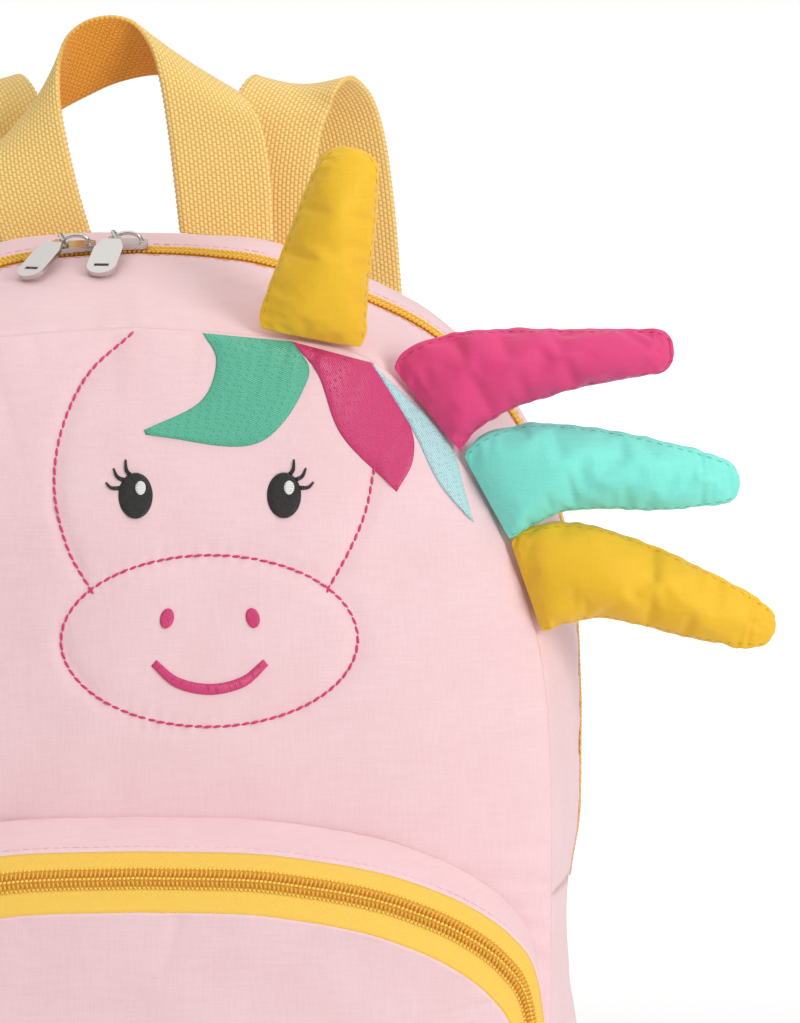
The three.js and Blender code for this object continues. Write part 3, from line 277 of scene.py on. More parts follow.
def soft_noise(points, scale, seed):
    """Smooth noise from -1 to 1 at points in millimetres, with lumps of about the given size."""
    q = points / scale + seed * 7.31
    cell = np.floor(q)
    f = q - cell
    f = f * f * (3 - 2 * f)
    total = np.zeros(points.shape[:-1])
    for corner in product((0, 1), repeat=3):
        spot = np.sin((cell + corner) @ np.array([127.1, 311.7, 74.7]) + seed) * 43758.5453
        total += (spot - np.floor(spot)) * np.prod(np.where(corner, f, 1 - f), axis=-1)
    return total * 2 - 1


def creases(along, away, pitch, depth, reach, seed):
    """Depth of the small creases that run off a sewn edge. along and away are in millimetres."""
    rng = np.random.default_rng(seed)
    total = np.zeros(np.broadcast(along, away).shape)
    for i in range(int(along.max() / pitch) + 1):
        centre, width = (i + rng.uniform(-0.4, 0.4)) * pitch, rng.uniform(1.1, 2.6)
        length, deep = reach * rng.uniform(0.35, 1.7), rng.uniform(0.15, 1) ** 1.5
        total += deep * np.exp(-(((along - centre) / width) ** 2) - away / length)
    return depth * total


def grid_quads(rows, columns, wrap):
    i, j = np.meshgrid(np.arange(rows - 1), np.arange(columns if wrap else columns - 1), indexing="ij")
    k = (j + 1) % columns
    here, above = i * columns, (i + 1) * columns
    return np.stack([here + j, here + k, above + k, above + j], -1).reshape(-1, 4)


SIM_SCALE = 10
CLOTH_FRAMES = 20


def settle_cloth(points, faces, held, pressure, growth, cap):
    """Lets cloth that is cut a little too large settle over its stuffing, held at its sewn points, and
    returns where its points come to rest. It is worked out ten times as large, which the solver likes."""
    points = np.asarray(points, float).reshape(-1, 3)
    scene = bpy.context.scene
    mesh = bpy.data.meshes.new("settling")
    mesh.from_pydata((points * MM * SIM_SCALE).tolist(), [], [list(face) for face in faces])
    sheet = bpy.data.objects.new("settling", mesh)
    scene.collection.objects.link(sheet)
    sheet.vertex_groups.new(name="held").add([int(i) for i in held], 1.0, "REPLACE")
    cloth = sheet.modifiers.new("cloth", "CLOTH")
    cloth.collision_settings.use_collision = False
    cloth.point_cache.frame_start, cloth.point_cache.frame_end = 1, CLOTH_FRAMES
    for name, value in {
        "quality": 6, "mass": 0.2, "tension_stiffness": 30, "compression_stiffness": 30,
        "shear_stiffness": 12, "bending_stiffness": 0.08, "use_pressure": True,
        "uniform_pressure_force": pressure, "vertex_group_mass": "held", "shrink_min": -growth,
    }.items():
        setattr(cloth.settings, name, value)
    cloth.settings.effector_weights.gravity = 0
    for frame_number in range(1, CLOTH_FRAMES + 1):
        scene.frame_set(frame_number)
    rested = sheet.evaluated_get(bpy.context.evaluated_depsgraph_get()).data
    moved = np.empty(len(points) * 3)
    rested.vertices.foreach_get("co", moved)
    scene.frame_set(1)
    bpy.data.objects.remove(sheet)
    bpy.data.meshes.remove(mesh)
    step = moved.reshape(-1, 3) / (MM * SIM_SCALE) - points
    far = np.linalg.norm(step, axis=1, keepdims=True)
    return points + step * np.minimum(1, cap / np.maximum(far, 1e-9))


def finish_mesh(name, points, faces, material, uv=None, smooth=True):
    """A mesh object from points in millimetres. uv is one pair for each point, in millimetres."""
    mesh = bpy.data.meshes.new(name)
    mesh.from_pydata((np.asarray(points) * MM).tolist(), [], [list(face) for face in faces])
    if uv is not None:
        index = np.empty(len(mesh.loops), np.int32)
        mesh.loops.foreach_get("vertex_index", index)
        layer = mesh.uv_layers.new(name="cloth_mm")
        layer.data.foreach_set("uv", np.asarray(uv, np.float32)[index].ravel())
    if smooth:
        mesh.shade_smooth()
    mesh.materials.append(material)
    piece = bpy.data.objects.new(name, mesh)
    bpy.context.scene.collection.objects.link(piece)
    return piece


def shell_mesh(name, outer, inner, material, wrap=False, uv=None, turn=False):
    """A closed sheet between two grids of points of the same shape."""
    rows, columns = outer.shape[:2]
    top = grid_quads(rows, columns, wrap)
    under = grid_quads(rows, columns, wrap)[:, ::-1] + rows * columns
    shift = rows * columns
    j = np.arange(columns if wrap else columns - 1)
    k = (j + 1) % columns
    last = (rows - 1) * columns
    walls = [np.stack([k, j, j + shift, k + shift], -1),
             np.stack([last + j, last + k, last + k + shift, last + j + shift], -1)]
    if not wrap:
        i = np.arange(rows - 1) * columns
        end = columns - 1
        walls.append(np.stack([i, i + columns, i + columns + shift, i + shift], -1))
        walls.append(np.stack([i + columns + end, i + end, i + end + shift, i + columns + end + shift], -1))
    faces = np.vstack([top, under] + walls)
    if turn:
        faces = faces[:, ::-1]
    points = np.vstack([outer.reshape(-1, 3), inner.reshape(-1, 3)])
    both = None if uv is None else np.vstack([uv.reshape(-1, 2)] * 2)
    return finish_mesh(name, points, faces, material, both)


# How many thread widths a thread keeps its thickness for, and the colour between threads as shares.
THREAD_RUN = 14
WEAVE_SHADE = (0.95, 0.9, 0.91, 1)


def woven_cloth(name, hex_colour, sheen=0.25, roughness=0.62, thread_mm=0.55):
    """Plain-woven polyester: fine, uneven threads both ways and a soft sheen at grazing angles. The real
    thread is about 0.2 mm; it is drawn coarser so that it shows."""
    material, tree = new_material(name)
    place = add(tree, "ShaderNodeTexCoord").outputs["Object"]
    threads = []
    for stretch in ((1, 1, THREAD_RUN), (THREAD_RUN, THREAD_RUN, 1)):
        scale = tuple(1 / (thread_mm * MM * s) for s in stretch)
        scaled = add(tree, "ShaderNodeMapping", {"Vector": place, "Scale": scale})
        grain = add(tree, "ShaderNodeTexNoise", {
            "Vector": scaled.outputs["Vector"], "Scale": 1.0, "Detail": 1.5, "Roughness": 0.6})
        threads.append(grain.outputs["Fac"])
    weave = add(tree, "ShaderNodeMath", {0: threads[0], 1: threads[1]}, operation="ADD").outputs[0]
    patch = add(tree, "ShaderNodeTexNoise", {"Vector": place, "Scale": 45.0, "Detail": 2.0}).outputs["Fac"]
    shade = add(tree, "ShaderNodeMath", {0: weave, 1: patch}, operation="ADD").outputs[0]
    tone = add(tree, "ShaderNodeMapRange", {"Value": shade, "From Min": 1.1, "From Max": 1.9})
    base = linear(hex_colour)
    dark = [c * d for c, d in zip(base, WEAVE_SHADE)]
    colour = add(tree, "ShaderNodeMix", {
        "Factor": tone.outputs[0], 6: dark, 7: base}, data_type="RGBA")
    bump = add(tree, "ShaderNodeBump", {"Height": weave, "Strength": 0.35, "Distance": 0.12 * MM})
    surface = add(tree, "ShaderNodeBsdfPrincipled", {
        "Base Color": colour.outputs[2], "Roughness": roughness, "Sheen Weight": sheen,
        "Sheen Roughness": 0.4, "Specular IOR Level": 0.3, "Normal": bump.outputs["Normal"]})
    add(tree, "ShaderNodeOutputMaterial", {"Surface": surface.outputs["BSDF"]})
    return material


pink_cloth = woven_cloth("Pink_polyester_plain_weave", PINK)


def rolled_edge(distance, radius=1.6, depth=1.5):
    """How far cloth turns in beside a sewn edge."""
    return depth * (1 - np.sqrt(np.clip(1 - (1 - np.clip(distance / radius, 0, 1)) ** 2, 0, 1)))


def gusset(name, y_from, y_to, first, last, seed, crease_front=0.5, crease_rear=0.5):
    """A strip of the gusset between two depths over part of the outline's columns."""
    rows = 2 + int((y_to - y_from) / 1.7)
    depths = np.linspace(y_from, y_to, rows)
    columns = np.arange(first, last + 1) % (2 * HALF)
    outer, inner = [], []
    centre = body_ring(0)[columns]
    along = np.r_[0, np.cumsum(np.linalg.norm(np.diff(centre, axis=0), axis=1))]
    for y in depths:
        edge = min(y - y_from, y_to - y)
        ring, inside = body_ring(y)[columns], body_ring(y, GUSSET_WALL)[columns]
        outer.append(np.column_stack([ring[:, 0], np.full(len(ring), y), ring[:, 1]]))
        inner.append(np.column_stack([inside[:, 0], np.full(len(ring), y), inside[:, 1]]))
    outer, inner = np.array(outer), np.array(inner)
    off = outer - inner
    off[..., 1] = 0
    off /= np.maximum(np.linalg.norm(off, axis=-1, keepdims=True), 1e-6)
    from_front, to_rear = (depths - y_from)[:, None], (y_to - depths)[:, None]
    sink = rolled_edge(np.minimum(from_front, to_rear)) + creases(along, from_front, 7, crease_front, 9, seed)
    sink = sink + creases(along, to_rear, 8, crease_rear, 8, seed + 1)
    calm = np.clip(np.minimum(from_front, to_rear) / 12, 0, 1)
    sink = sink + calm * (0.7 * soft_noise(outer, 34, seed) + 0.35 * soft_noise(outer, 14, seed + 2))
    outer = outer - off * np.clip(sink, -0.8, 2.4)[..., None]
    uv = np.stack(np.broadcast_arrays(along[None, :], depths[:, None]), -1)
    piece = shell_mesh(name, outer, inner, pink_cloth, uv=uv, turn=True)
    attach(piece, "bag")
    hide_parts(name)
    return piece


ARCH_FROM, ARCH_TO = JOIN, 2 * HALF - JOIN
gusset("front_gusset", FRONT_Y + SEAM_GAP, ZIP_Y - MAIN_ZIP_WIDTH / 2 + 0.7, ARCH_FROM, ARCH_TO, 11)
gusset("rear_gusset", ZIP_Y + MAIN_ZIP_WIDTH / 2 - 0.7, REAR_Y - SEAM_GAP, ARCH_FROM, ARCH_TO, 21)
gusset("bottom_gusset", FRONT_Y + SEAM_GAP, REAR_Y - SEAM_GAP, ARCH_TO, 2 * HALF + JOIN, 31)

# Main zip
# A nylon coil zip let in between the two gusset strips, gold, with only its coil and sewing cord
# showing: two rows of slanting coil turns with a plaited look.
COIL_GOLD = "#efb32f"
STITCH_SEGMENTS, STITCH_RINGS = 7, 5


def satin_thread(name, hex_colour, roughness=0.42, sheen=0.15):
    """Polyester thread or moulded nylon: one colour with a soft shine."""
    material, tree = new_material(name)
    surface = add(tree, "ShaderNodeBsdfPrincipled", {
        "Base Color": linear(hex_colour), "Roughness": roughness, "Sheen Weight": sheen,
        "Sheen Roughness": 0.4})
    add(tree, "ShaderNodeOutputMaterial", {"Surface": surface.outputs["BSDF"]})
    return material


def stitch_tree():
    """Geometry nodes that repeat one thread turn or stitch along a line, standing on the surface."""
    tree = bpy.data.node_groups.new("turns_along_a_line", "GeometryNodeTree")
    face = tree.interface
    face.new_socket("Geometry", in_out="INPUT", socket_type="NodeSocketGeometry")
    for name in ("Pitch", "Length", "Width", "Height", "Slant", "Aside", "Lift"):
        face.new_socket(name, in_out="INPUT", socket_type="NodeSocketFloat")
    face.new_socket("Material", in_out="INPUT", socket_type="NodeSocketMaterial")
    face.new_socket("Geometry", in_out="OUTPUT", socket_type="NodeSocketGeometry")
    given = add(tree, "NodeGroupInput").outputs
    ball = add(tree, "GeometryNodeMeshUVSphere", {
        "Segments": STITCH_SEGMENTS, "Rings": STITCH_RINGS, "Radius": 0.5})
    size = add(tree, "ShaderNodeCombineXYZ", {
        "X": given["Length"], "Y": given["Width"], "Z": given["Height"]})
    turn = add(tree, "ShaderNodeCombineXYZ", {"Z": given["Slant"]})
    aside = add(tree, "ShaderNodeCombineXYZ", {"Y": given["Aside"], "Z": given["Lift"]})
    stitch = add(tree, "GeometryNodeTransform", {
        "Geometry": ball.outputs["Mesh"], "Scale": size.outputs[0], "Rotation": turn.outputs[0],
        "Translation": aside.outputs[0]})
    line = add(tree, "GeometryNodeMeshToCurve", {"Mesh": given["Geometry"]})
    spaced = add(tree, "GeometryNodeResampleCurve", {
        "Curve": line.outputs[0], "Length": given["Pitch"]}, mode="LENGTH")
    off = add(tree, "GeometryNodeInputNamedAttribute", {"Name": "off"}, data_type="FLOAT_VECTOR")
    stand = add(tree, "FunctionNodeAlignRotationToVector", {"Vector": off.outputs["Attribute"]}, axis="Z")
    tangent = add(tree, "GeometryNodeInputTangent")
    along = add(tree, "FunctionNodeAlignRotationToVector", {
        "Rotation": stand.outputs[0], "Vector": tangent.outputs[0]}, axis="X", pivot_axis="Z")
    many = add(tree, "GeometryNodeInstanceOnPoints", {
        "Points": spaced.outputs[0], "Instance": stitch.outputs[0], "Rotation": along.outputs[0]})
    real = add(tree, "GeometryNodeRealizeInstances", {"Geometry": many.outputs[0]})
    smooth = add(tree, "GeometryNodeSetShadeSmooth", {"Geometry": real.outputs[0]})
    painted = add(tree, "GeometryNodeSetMaterial", {
        "Geometry": smooth.outputs[0], "Material": given["Material"]})
    add(tree, "NodeGroupOutput", {0: painted.outputs[0]})
    return tree


TURNS = stitch_tree()


def turns_along(name, lines, material, pitch, length, width, height, slant=0.0, aside=0.0, lift=0.0):
    """Repeats a stitch along lines of (points, directions off the surface). Sizes are in millimetres."""
    points, edges, offs = [], [], []
    for line, off in lines:
        start = len(points)
        points.extend((np.asarray(line) * MM).tolist())
        offs.extend(np.broadcast_to(off, np.shape(line)).tolist())
        edges.extend((start + i, start + i + 1) for i in range(len(line) - 1))
    mesh = bpy.data.meshes.new(name + "_line")
    mesh.from_pydata(points, edges, [])
    mesh.attributes.new("off", "FLOAT_VECTOR", "POINT").data.foreach_set("vector", np.ravel(offs))
    carrier = bpy.data.objects.new(name + "_line", mesh)
    bpy.context.scene.collection.objects.link(carrier)
    modifier = carrier.modifiers.new("turns", "NODES")
    modifier.node_group = TURNS
    values = {"Pitch": pitch * MM, "Length": length * MM, "Width": width * MM, "Height": height * MM,
              "Slant": slant, "Aside": aside * MM, "Lift": lift * MM, "Material": material}
    for item in TURNS.interface.items_tree:
        if item.in_out == "INPUT" and item.name in values:
            modifier[item.identifier] = values[item.name]
    bpy.context.view_layer.update()
    evaluated = carrier.evaluated_get(bpy.context.evaluated_depsgraph_get())
    made = bpy.data.meshes.new_from_object(evaluated)
    made.name = name
    piece = bpy.data.objects.new(name, made)
    bpy.context.scene.collection.objects.link(piece)
    bpy.data.objects.remove(carrier)
    bpy.data.meshes.remove(mesh)
    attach(piece, "bag")
    return piece


def line_offs(points, outward):
    """Unit directions off the surface for a line, square to the line itself."""
    along = np.gradient(points, axis=0)
    along /= np.linalg.norm(along, axis=1, keepdims=True)
    off = outward - along * np.sum(outward * along, axis=1, keepdims=True)
    return off / np.linalg.norm(off, axis=1, keepdims=True)


def body_line(y, inset):
    """A line round the body's arch at a depth, with its directions off the cloth."""
    columns = np.arange(ARCH_FROM, ARCH_TO + 1)
    ring, deeper = body_ring(y, inset)[columns], body_ring(y, inset + 1)[columns]
    ahead = body_ring(y + 1, inset)[columns]
    points = np.column_stack([ring[:, 0], np.full(len(ring), float(y)), ring[:, 1]])
    outward = np.column_stack([ring[:, 0] - deeper[:, 0], np.zeros(len(ring)), ring[:, 1] - deeper[:, 1]])
    rise = np.sum((ahead - ring) * (ring - deeper), axis=1)
    outward[:, 1] = -rise
    return points, line_offs(points, outward)


gold_coil = satin_thread("Gold_nylon_coil", COIL_GOLD, roughness=0.36)
gold_cord = satin_thread("Gold_sewing_cord", "#fbcf4e", roughness=0.5)
TAPE_UNDERLAP, TAPE_INSET = 0.4, 0.6
TAPE_SHRINK, TAPE_THICKNESS = 1.2 / 150, 0.9
zip_half = MAIN_ZIP_WIDTH / 2 + TAPE_UNDERLAP
zip_rows = np.array([body_line(y, TAPE_INSET)[0] for y in np.linspace(-zip_half, zip_half, 5)])
zip_under = zip_rows * (1 - TAPE_SHRINK, 1, 1) - (0, 0, TAPE_THICKNESS)
tape_edge = satin_thread("Gold_zip_tape_edge", "#c98a1c", 0.7)
main_zip = shell_mesh("main_zip_tape", zip_rows, zip_under, tape_edge, turn=True)
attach(main_zip, "bag")
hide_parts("main_zip")
for row, (y, slant) in enumerate([(-1.95, 0.62), (-0.62, -0.62), (0.62, 0.62), (1.95, -0.62)]):
    coil = turns_along(f"main_zip_turns_{row}", [body_line(y, 0.1)], gold_cord if row % 2 else gold_coil,
                       pitch=1.5, length=2.1, width=0.95, height=1.0, slant=slant)

# Topstitching
# Pale pink thread that holds the turned edges of the gusset down beside the zip.
TOPSTITCH_FROM_ZIP = 1.6
pink_thread = satin_thread("Pink_polyester_thread", "#ecbfc6", roughness=0.5)
for side, way in (("front", -1), ("rear", 1)):
    line = body_line(ZIP_Y + way * (MAIN_ZIP_WIDTH / 2 + TOPSTITCH_FROM_ZIP), -0.05)
    turns_along(f"topstitch_{side}_gusset", [line], pink_thread, pitch=3.1, length=2.5, width=0.38,
                height=0.3)

# Front panel
# The padded panel that carries the face: pink polyester over wadding, sewn to the gusset all round.
# It bulges softly and creases at its seam, and the embroidery draws it in.
FRONT_PUFF, FRONT_WALL = 20, 6
BACK_PUFF, BACK_WALL = 5, 5
PANEL_CENTRE = np.array([0, BODY_HEIGHT * 0.46])
PANEL_ROWS = 64


def seam_table(ring):
    """A seam's angles and reaches from the panel's centre, and the lengths along it."""
    angles = np.unwrap(np.arctan2(*(ring - PANEL_CENTRE).T[::-1]))
    length = np.r_[0, np.cumsum(np.linalg.norm(np.diff(ring, axis=0), axis=1))]
    return angles, np.linalg.norm(ring - PANEL_CENTRE, axis=1), length


FRONT_SEAM, REAR_SEAM = seam_table(body_ring(FRONT_Y)), seam_table(body_ring(REAR_Y))


def puff(share):
    """Height of a padded panel as a share, from 0 at its rim to 1 at its middle."""
    return np.clip(1 - share**3, 0, 1) ** 0.8


def oval(centre_x, centre_z, half_width, half_height, count=120):
    turn = np.radians(np.linspace(0, 360, count))
    return np.column_stack([centre_x + half_width * np.cos(turn), centre_z + half_height * np.sin(turn)])


# Head outline of the embroidered face, in millimetres across from the middle and up from the floor.
FACE_MIDDLE = 22
MUZZLE = oval(FACE_MIDDLE, 205, 45, 26)
HEAD_LEFT = smooth_path([(-2, 297), (-15, 285), (-23, 268), (-25, 250), (-21, 233), (-14, 220.5)], 60)
HEAD_RIGHT = smooth_path([(72, 256), (69.5, 244), (65, 233), (58, 220.5)], 60)
FACE_LINES = [MUZZLE, HEAD_LEFT, HEAD_RIGHT]


def ring_place(x, z, seam=FRONT_SEAM):
    """Share of the way to a panel's seam, and the length along that seam, for places on the panel."""
    angles, reaches, lengths = seam
    dx, dz = x - PANEL_CENTRE[0], z - PANEL_CENTRE[1]
    angle = np.mod(np.arctan2(dz, dx) - angles[0], 2 * np.pi) + angles[0]
    closed_angles = np.r_[angles, angles[0] + 2 * np.pi]
    reach = np.interp(angle, closed_angles, np.r_[reaches, reaches[0]])
    along = np.interp(angle, closed_angles, np.r_[lengths, lengths[-1] + 2])
    return np.hypot(dx, dz) / reach, along, reach


def near_lines(x, z, lines, width):
    """1 on the lines, falling to 0 within about the given width."""
    best = np.full(x.shape, 1e9)
    for line in lines:
        for px, pz in line[::2]:
            best = np.minimum(best, (x - px) ** 2 + (z - pz) ** 2)
    return np.exp(-best / width**2)


# Lumps of the wadding: height, size and seed.
PANEL_LUMPS = ((1.7, 75, 3), (0.6, 30, 4), (0.14, 12, 5))


def front_relief(x, z):
    """Folds and lumps of the front panel, outwards, in millimetres."""
    share, along, reach = ring_place(x, z)
    away = np.clip((1 - share) * reach, 0, None)
    places = np.stack([x, np.zeros_like(x), z], -1)
    calm = np.clip(away / 30, 0, 1) ** 1.5
    relief = sum(height * soft_noise(places, lump, seed) for height, lump, seed in PANEL_LUMPS) * calm
    relief -= creases(along, away, 8, 1.5, 11, 6) * np.clip(away / 2.5, 0, 1)
    relief -= 0.9 * near_lines(x, z, FACE_LINES, 2.6)
    return relief - rolled_edge(away, 2.0, 1.3)


def front_y(x, z):
    """Depth of the front panel's face at places seen from the front."""
    share, _, _ = ring_place(x, z)
    return FRONT_Y - FRONT_PUFF * puff(share) - front_relief(x, z)


def panel_shares(rows):
    return 1 - np.linspace(0, 1, rows) ** 1.5


# The panel's edge turns in behind the gusset's, so no light comes through the seam.
TUCK = 1.6


def padded_panel(name, seam_y, direction, height, wall, depth_of, seed):
    shares = panel_shares(PANEL_ROWS)[:, None, None]
    shares[-1] = 0.004
    flat = PANEL_CENTRE + (body_ring(seam_y) - PANEL_CENTRE) * shares
    x, z = flat[..., 0], flat[..., 1]
    outer = np.stack([x, depth_of(x, z), z], -1)
    inside = PANEL_CENTRE + (body_ring(seam_y, wall) - PANEL_CENTRE) * shares
    inner_y = seam_y + direction * (height - wall) * puff(np.broadcast_to(shares[..., 0], x.shape))
    inner = np.stack([inside[..., 0], inner_y, inside[..., 1]], -1)
    tucked = body_ring(seam_y, TUCK)
    outer[0] = np.column_stack([tucked[:, 0], np.full(len(tucked), seam_y - direction * TUCK), tucked[:, 1]])
    piece = shell_mesh(name, outer, inner, pink_cloth, wrap=True, uv=np.stack([x, z], -1), turn=direction > 0)
    cap_pole(piece, PANEL_ROWS, outer.shape[1])
    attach(piece, "bag")
    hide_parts(name)
    return piece


def cap_pole(piece, rows, columns):
    """Joins the small last ring of a wrapped sheet into one point on each side."""
    mesh = piece.data
    for start in ((rows - 1) * columns, (2 * rows - 1) * columns):
        middle = sum((mesh.vertices[start + k].co for k in range(columns)), Vector()) / columns
        for k in range(columns):
            mesh.vertices[start + k].co = middle
    weld = piece.modifiers.new("pole", "WELD")
    weld.merge_threshold = 1e-6
    apply_modifiers(piece)


def apply_modifiers(piece):
    """Turns a piece and its modifiers into a plain mesh."""
    evaluated = piece.evaluated_get(bpy.context.evaluated_depsgraph_get())
    made = bpy.data.meshes.new_from_object(evaluated)
    old = piece.data
    piece.modifiers.clear()
    piece.data = made
    bpy.data.meshes.remove(old)


def back_y(x, z):
    share, _, _ = ring_place(x, z, REAR_SEAM)
    places = np.stack([x, np.zeros_like(x), z], -1)
    calm = np.clip((1 - share) * 6, 0, 1)
    return REAR_Y + BACK_PUFF * puff(share) - calm * 0.8 * (1 + soft_noise(places, 50, 8))


padded_panel("front_panel", FRONT_Y, -1, FRONT_PUFF, FRONT_WALL, front_y, 3)
padded_panel("back_panel", REAR_Y, 1, BACK_PUFF, BACK_WALL, back_y, 8)

# Front pocket
# Pink polyester, unpadded: a band sewn to the front panel, a wide gold coil zip that follows its arch,
# and a soft face below. The floor strip closes it underneath.
POCKET_WIDTH, POCKET_HEIGHT, POCKET_LIFT, POCKET_DEPTH = 251, 152, 11, 26.5
POCKET_PUFF, POCKET_WALL = 45, 2
POCKET_CORNER, POCKET_JOIN_RISE, POCKET_SHOULDER_DROP = 34.2, 45.6, 0.5
POCKET_SEAT_GAP = 0.6
POCKET_FLOOR_DEPTH_SHARE = 0.6
POCKET_CENTRE = np.array([0, POCKET_HEIGHT * 0.47])
UPPER_TAPE, COIL = 0.3, 0.61
COIL_SINKS = 0.25
POCKET_SHOULDER = shoulder_points([(0, 0), (0.26, 0.01), (0.42, 0.042), (0.55, 0.083), (0.66, 0.138),
                                   (0.79, 0.235), (0.9, 0.37), (0.965, 0.55), (1, 1)])
# Rows from the seam on the panel to the face: fold, width, top, lift and how proud it stands.
POCKET_FOLDS = np.array([(0, 1, 1, 1, 0), (1, 1.006, 0.946, 1.25, 0.72), (2, 0.945, 0.832, 2.1, 1)])


def plain_front_y(x, z):
    share, _, _ = ring_place(x, z)
    return FRONT_Y - FRONT_PUFF * puff(share)


def pocket_ring(fold, inset=0.0):
    """A ring of the pocket, from its seam (0) over the tape's edge (1) to the edge of its face (2)."""
    i = min(int(fold), 1)
    row = POCKET_FOLDS[i] + (POCKET_FOLDS[i + 1] - POCKET_FOLDS[i]) * (fold - i)
    _, width, top, lift, proud = row
    def flat(w, t, l, n):
        return whole_outline(half_outline(
            POCKET_WIDTH / 2 * w - n, POCKET_HEIGHT * t - n, POCKET_LIFT * l + n, POCKET_CORNER - n,
            POCKET_HEIGHT * POCKET_SHOULDER_DROP - n, POCKET_LIFT + POCKET_JOIN_RISE, POCKET_SHOULDER))
    ring, seam = flat(width, top, lift, inset), flat(1, 1, 1, 0)
    k = np.arange(2 * HALF)
    t = np.clip((np.minimum(k, 2 * HALF - k) / JOIN - 0.4) / 0.6, 0, 1)
    depth_share = POCKET_FLOOR_DEPTH_SHARE + (1 - POCKET_FLOOR_DEPTH_SHARE) * t * t * (3 - 2 * t)
    seam_y = plain_front_y(seam[:, 0], seam[:, 1]) - POCKET_SEAT_GAP
    seat_y = plain_front_y(ring[:, 0], ring[:, 1]) - POCKET_SEAT_GAP
    y = seam_y + (seat_y - seam_y) * max(0, 1 - fold)
    y = y - POCKET_DEPTH * proud * depth_share + inset * min(fold, 1)
    return np.column_stack([ring[:, 0], y, ring[:, 1]])


def grid_offs(grid):
    """Unit directions off a grid of points, from its rows and columns."""
    across, along = np.gradient(grid, axis=0), np.gradient(grid, axis=1)
    off = np.cross(along, across)
    return off / np.maximum(np.linalg.norm(off, axis=-1, keepdims=True), 1e-9)


def pocket_strip(name, fold_from, fold_to, first, last, rows, material, sink_of=None,
                 raise_by=0.0):
    """A strip of the pocket between two folds, over some columns of its outline."""
    folds = np.linspace(fold_from, fold_to, rows)
    columns = np.arange(first, last + 1) % (2 * HALF)
    outer = np.array([pocket_ring(f)[columns] for f in folds])
    inner = np.array([pocket_ring(f, POCKET_WALL)[columns] for f in folds])
    off = grid_offs(outer)
    along = np.r_[0, np.cumsum(np.linalg.norm(np.diff(outer[0], axis=0), axis=1))]
    away = np.linalg.norm(outer - outer[:1], axis=-1)
    to_end = np.linalg.norm(outer - outer[-1:], axis=-1)
    if sink_of is not None:
        outer = outer - off * sink_of(along[None, :], away, to_end, outer)[..., None]
    outer = outer + off * raise_by
    uv = np.stack(np.broadcast_arrays(along[None, :], away), -1)
    piece = shell_mesh(name, outer, inner, material, uv=uv)
    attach(piece, "bag")
    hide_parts(name)


def herringbone_tape(name, hex_light, hex_dark, rib_mm=0.75, zigzag_mm=6.0):
    """Woven zip tape: fine ribs that turn back in a zigzag across the tape."""
    material, tree = new_material(name)
    uv = add(tree, "ShaderNodeUVMap", uv_map="cloth_mm")
    parts = add(tree, "ShaderNodeSeparateXYZ", {"Vector": uv.outputs[0]})
    zigzag = add(tree, "ShaderNodeMath", {0: parts.outputs["Y"], 1: zigzag_mm / 2}, operation="PINGPONG")
    slope = add(tree, "ShaderNodeMath", {0: zigzag.outputs[0], 1: parts.outputs["X"]}, operation="ADD")
    phase = add(tree, "ShaderNodeMath", {0: slope.outputs[0], 1: 2 * math.pi / rib_mm}, operation="MULTIPLY")
    wave = add(tree, "ShaderNodeMath", {0: phase.outputs[0]}, operation="SINE")
    tone = add(tree, "ShaderNodeMapRange", {"Value": wave.outputs[0], "From Min": -1.0, "From Max": 1.0})
    # Painted shade: the troughs between the ribs take the darker colour, standing in for the shade in them.
    colour = add(tree, "ShaderNodeMix", {
        "Factor": tone.outputs[0], 6: linear(hex_dark), 7: linear(hex_light)}, data_type="RGBA")
    bump = add(tree, "ShaderNodeBump", {
        "Height": wave.outputs[0], "Strength": 0.4, "Distance": 0.12 * MM})
    surface = add(tree, "ShaderNodeBsdfPrincipled", {
        "Base Color": colour.outputs[2], "Roughness": 0.65, "Sheen Weight": 0.2,
        "Normal": bump.outputs["Normal"]})
    add(tree, "ShaderNodeOutputMaterial", {"Surface": surface.outputs["BSDF"]})
    return material


# The second colour is painted shade for the troughs between the ribs.
zip_tape = herringbone_tape("Gold_herringbone_zip_tape", "#fdd45a", "#f0bb42")


def band_sink(along, away, to_end, places):
    calm = np.clip(np.minimum(away, to_end) / 5, 0, 1)
    edges = rolled_edge(away, 1.8, 1.2) + rolled_edge(to_end, 0.9, 0.7)
    return edges + creases(along, away, 10, 0.35, 6, 41) + calm * 0.35 * soft_noise(places, 26, 42)


def coil_sink(along, away, to_end, places):
    return np.full_like(away, COIL_SINKS)


def floor_sink(along, away, to_end, places):
    return rolled_edge(np.minimum(away, to_end), 1.6, 1.0) + 0.3 * soft_noise(places, 22, 43)


pocket_strip("pocket_band", 0, 1.03, ARCH_FROM, ARCH_TO, 20, pink_cloth, band_sink, 0.45)
pocket_strip("pocket_tape_upper", 1, 1 + UPPER_TAPE, ARCH_FROM, ARCH_TO, 6, zip_tape)
tape_between = satin_thread("Gold_zip_tape_between", "#f6c64e", 0.6)
pocket_strip("pocket_zip_coil", 1 + UPPER_TAPE, 1 + COIL, ARCH_FROM, ARCH_TO, 6, tape_between,
             coil_sink)
pocket_strip("pocket_tape_lower", 1 + COIL, 2, ARCH_FROM, ARCH_TO, 8, zip_tape)
pocket_strip("pocket_floor", 0, 2, ARCH_TO, 2 * HALF + JOIN, 30, pink_cloth, floor_sink)


def pocket_line(fold, aside=0.0):
    """A line along the pocket's zip at a fold, with its directions off the tape."""
    columns = np.arange(ARCH_FROM, ARCH_TO + 1)
    grid = np.array([pocket_ring(f)[columns] for f in (fold - 0.02, fold, fold + 0.02)])
    return grid[1], grid_offs(grid)[1]


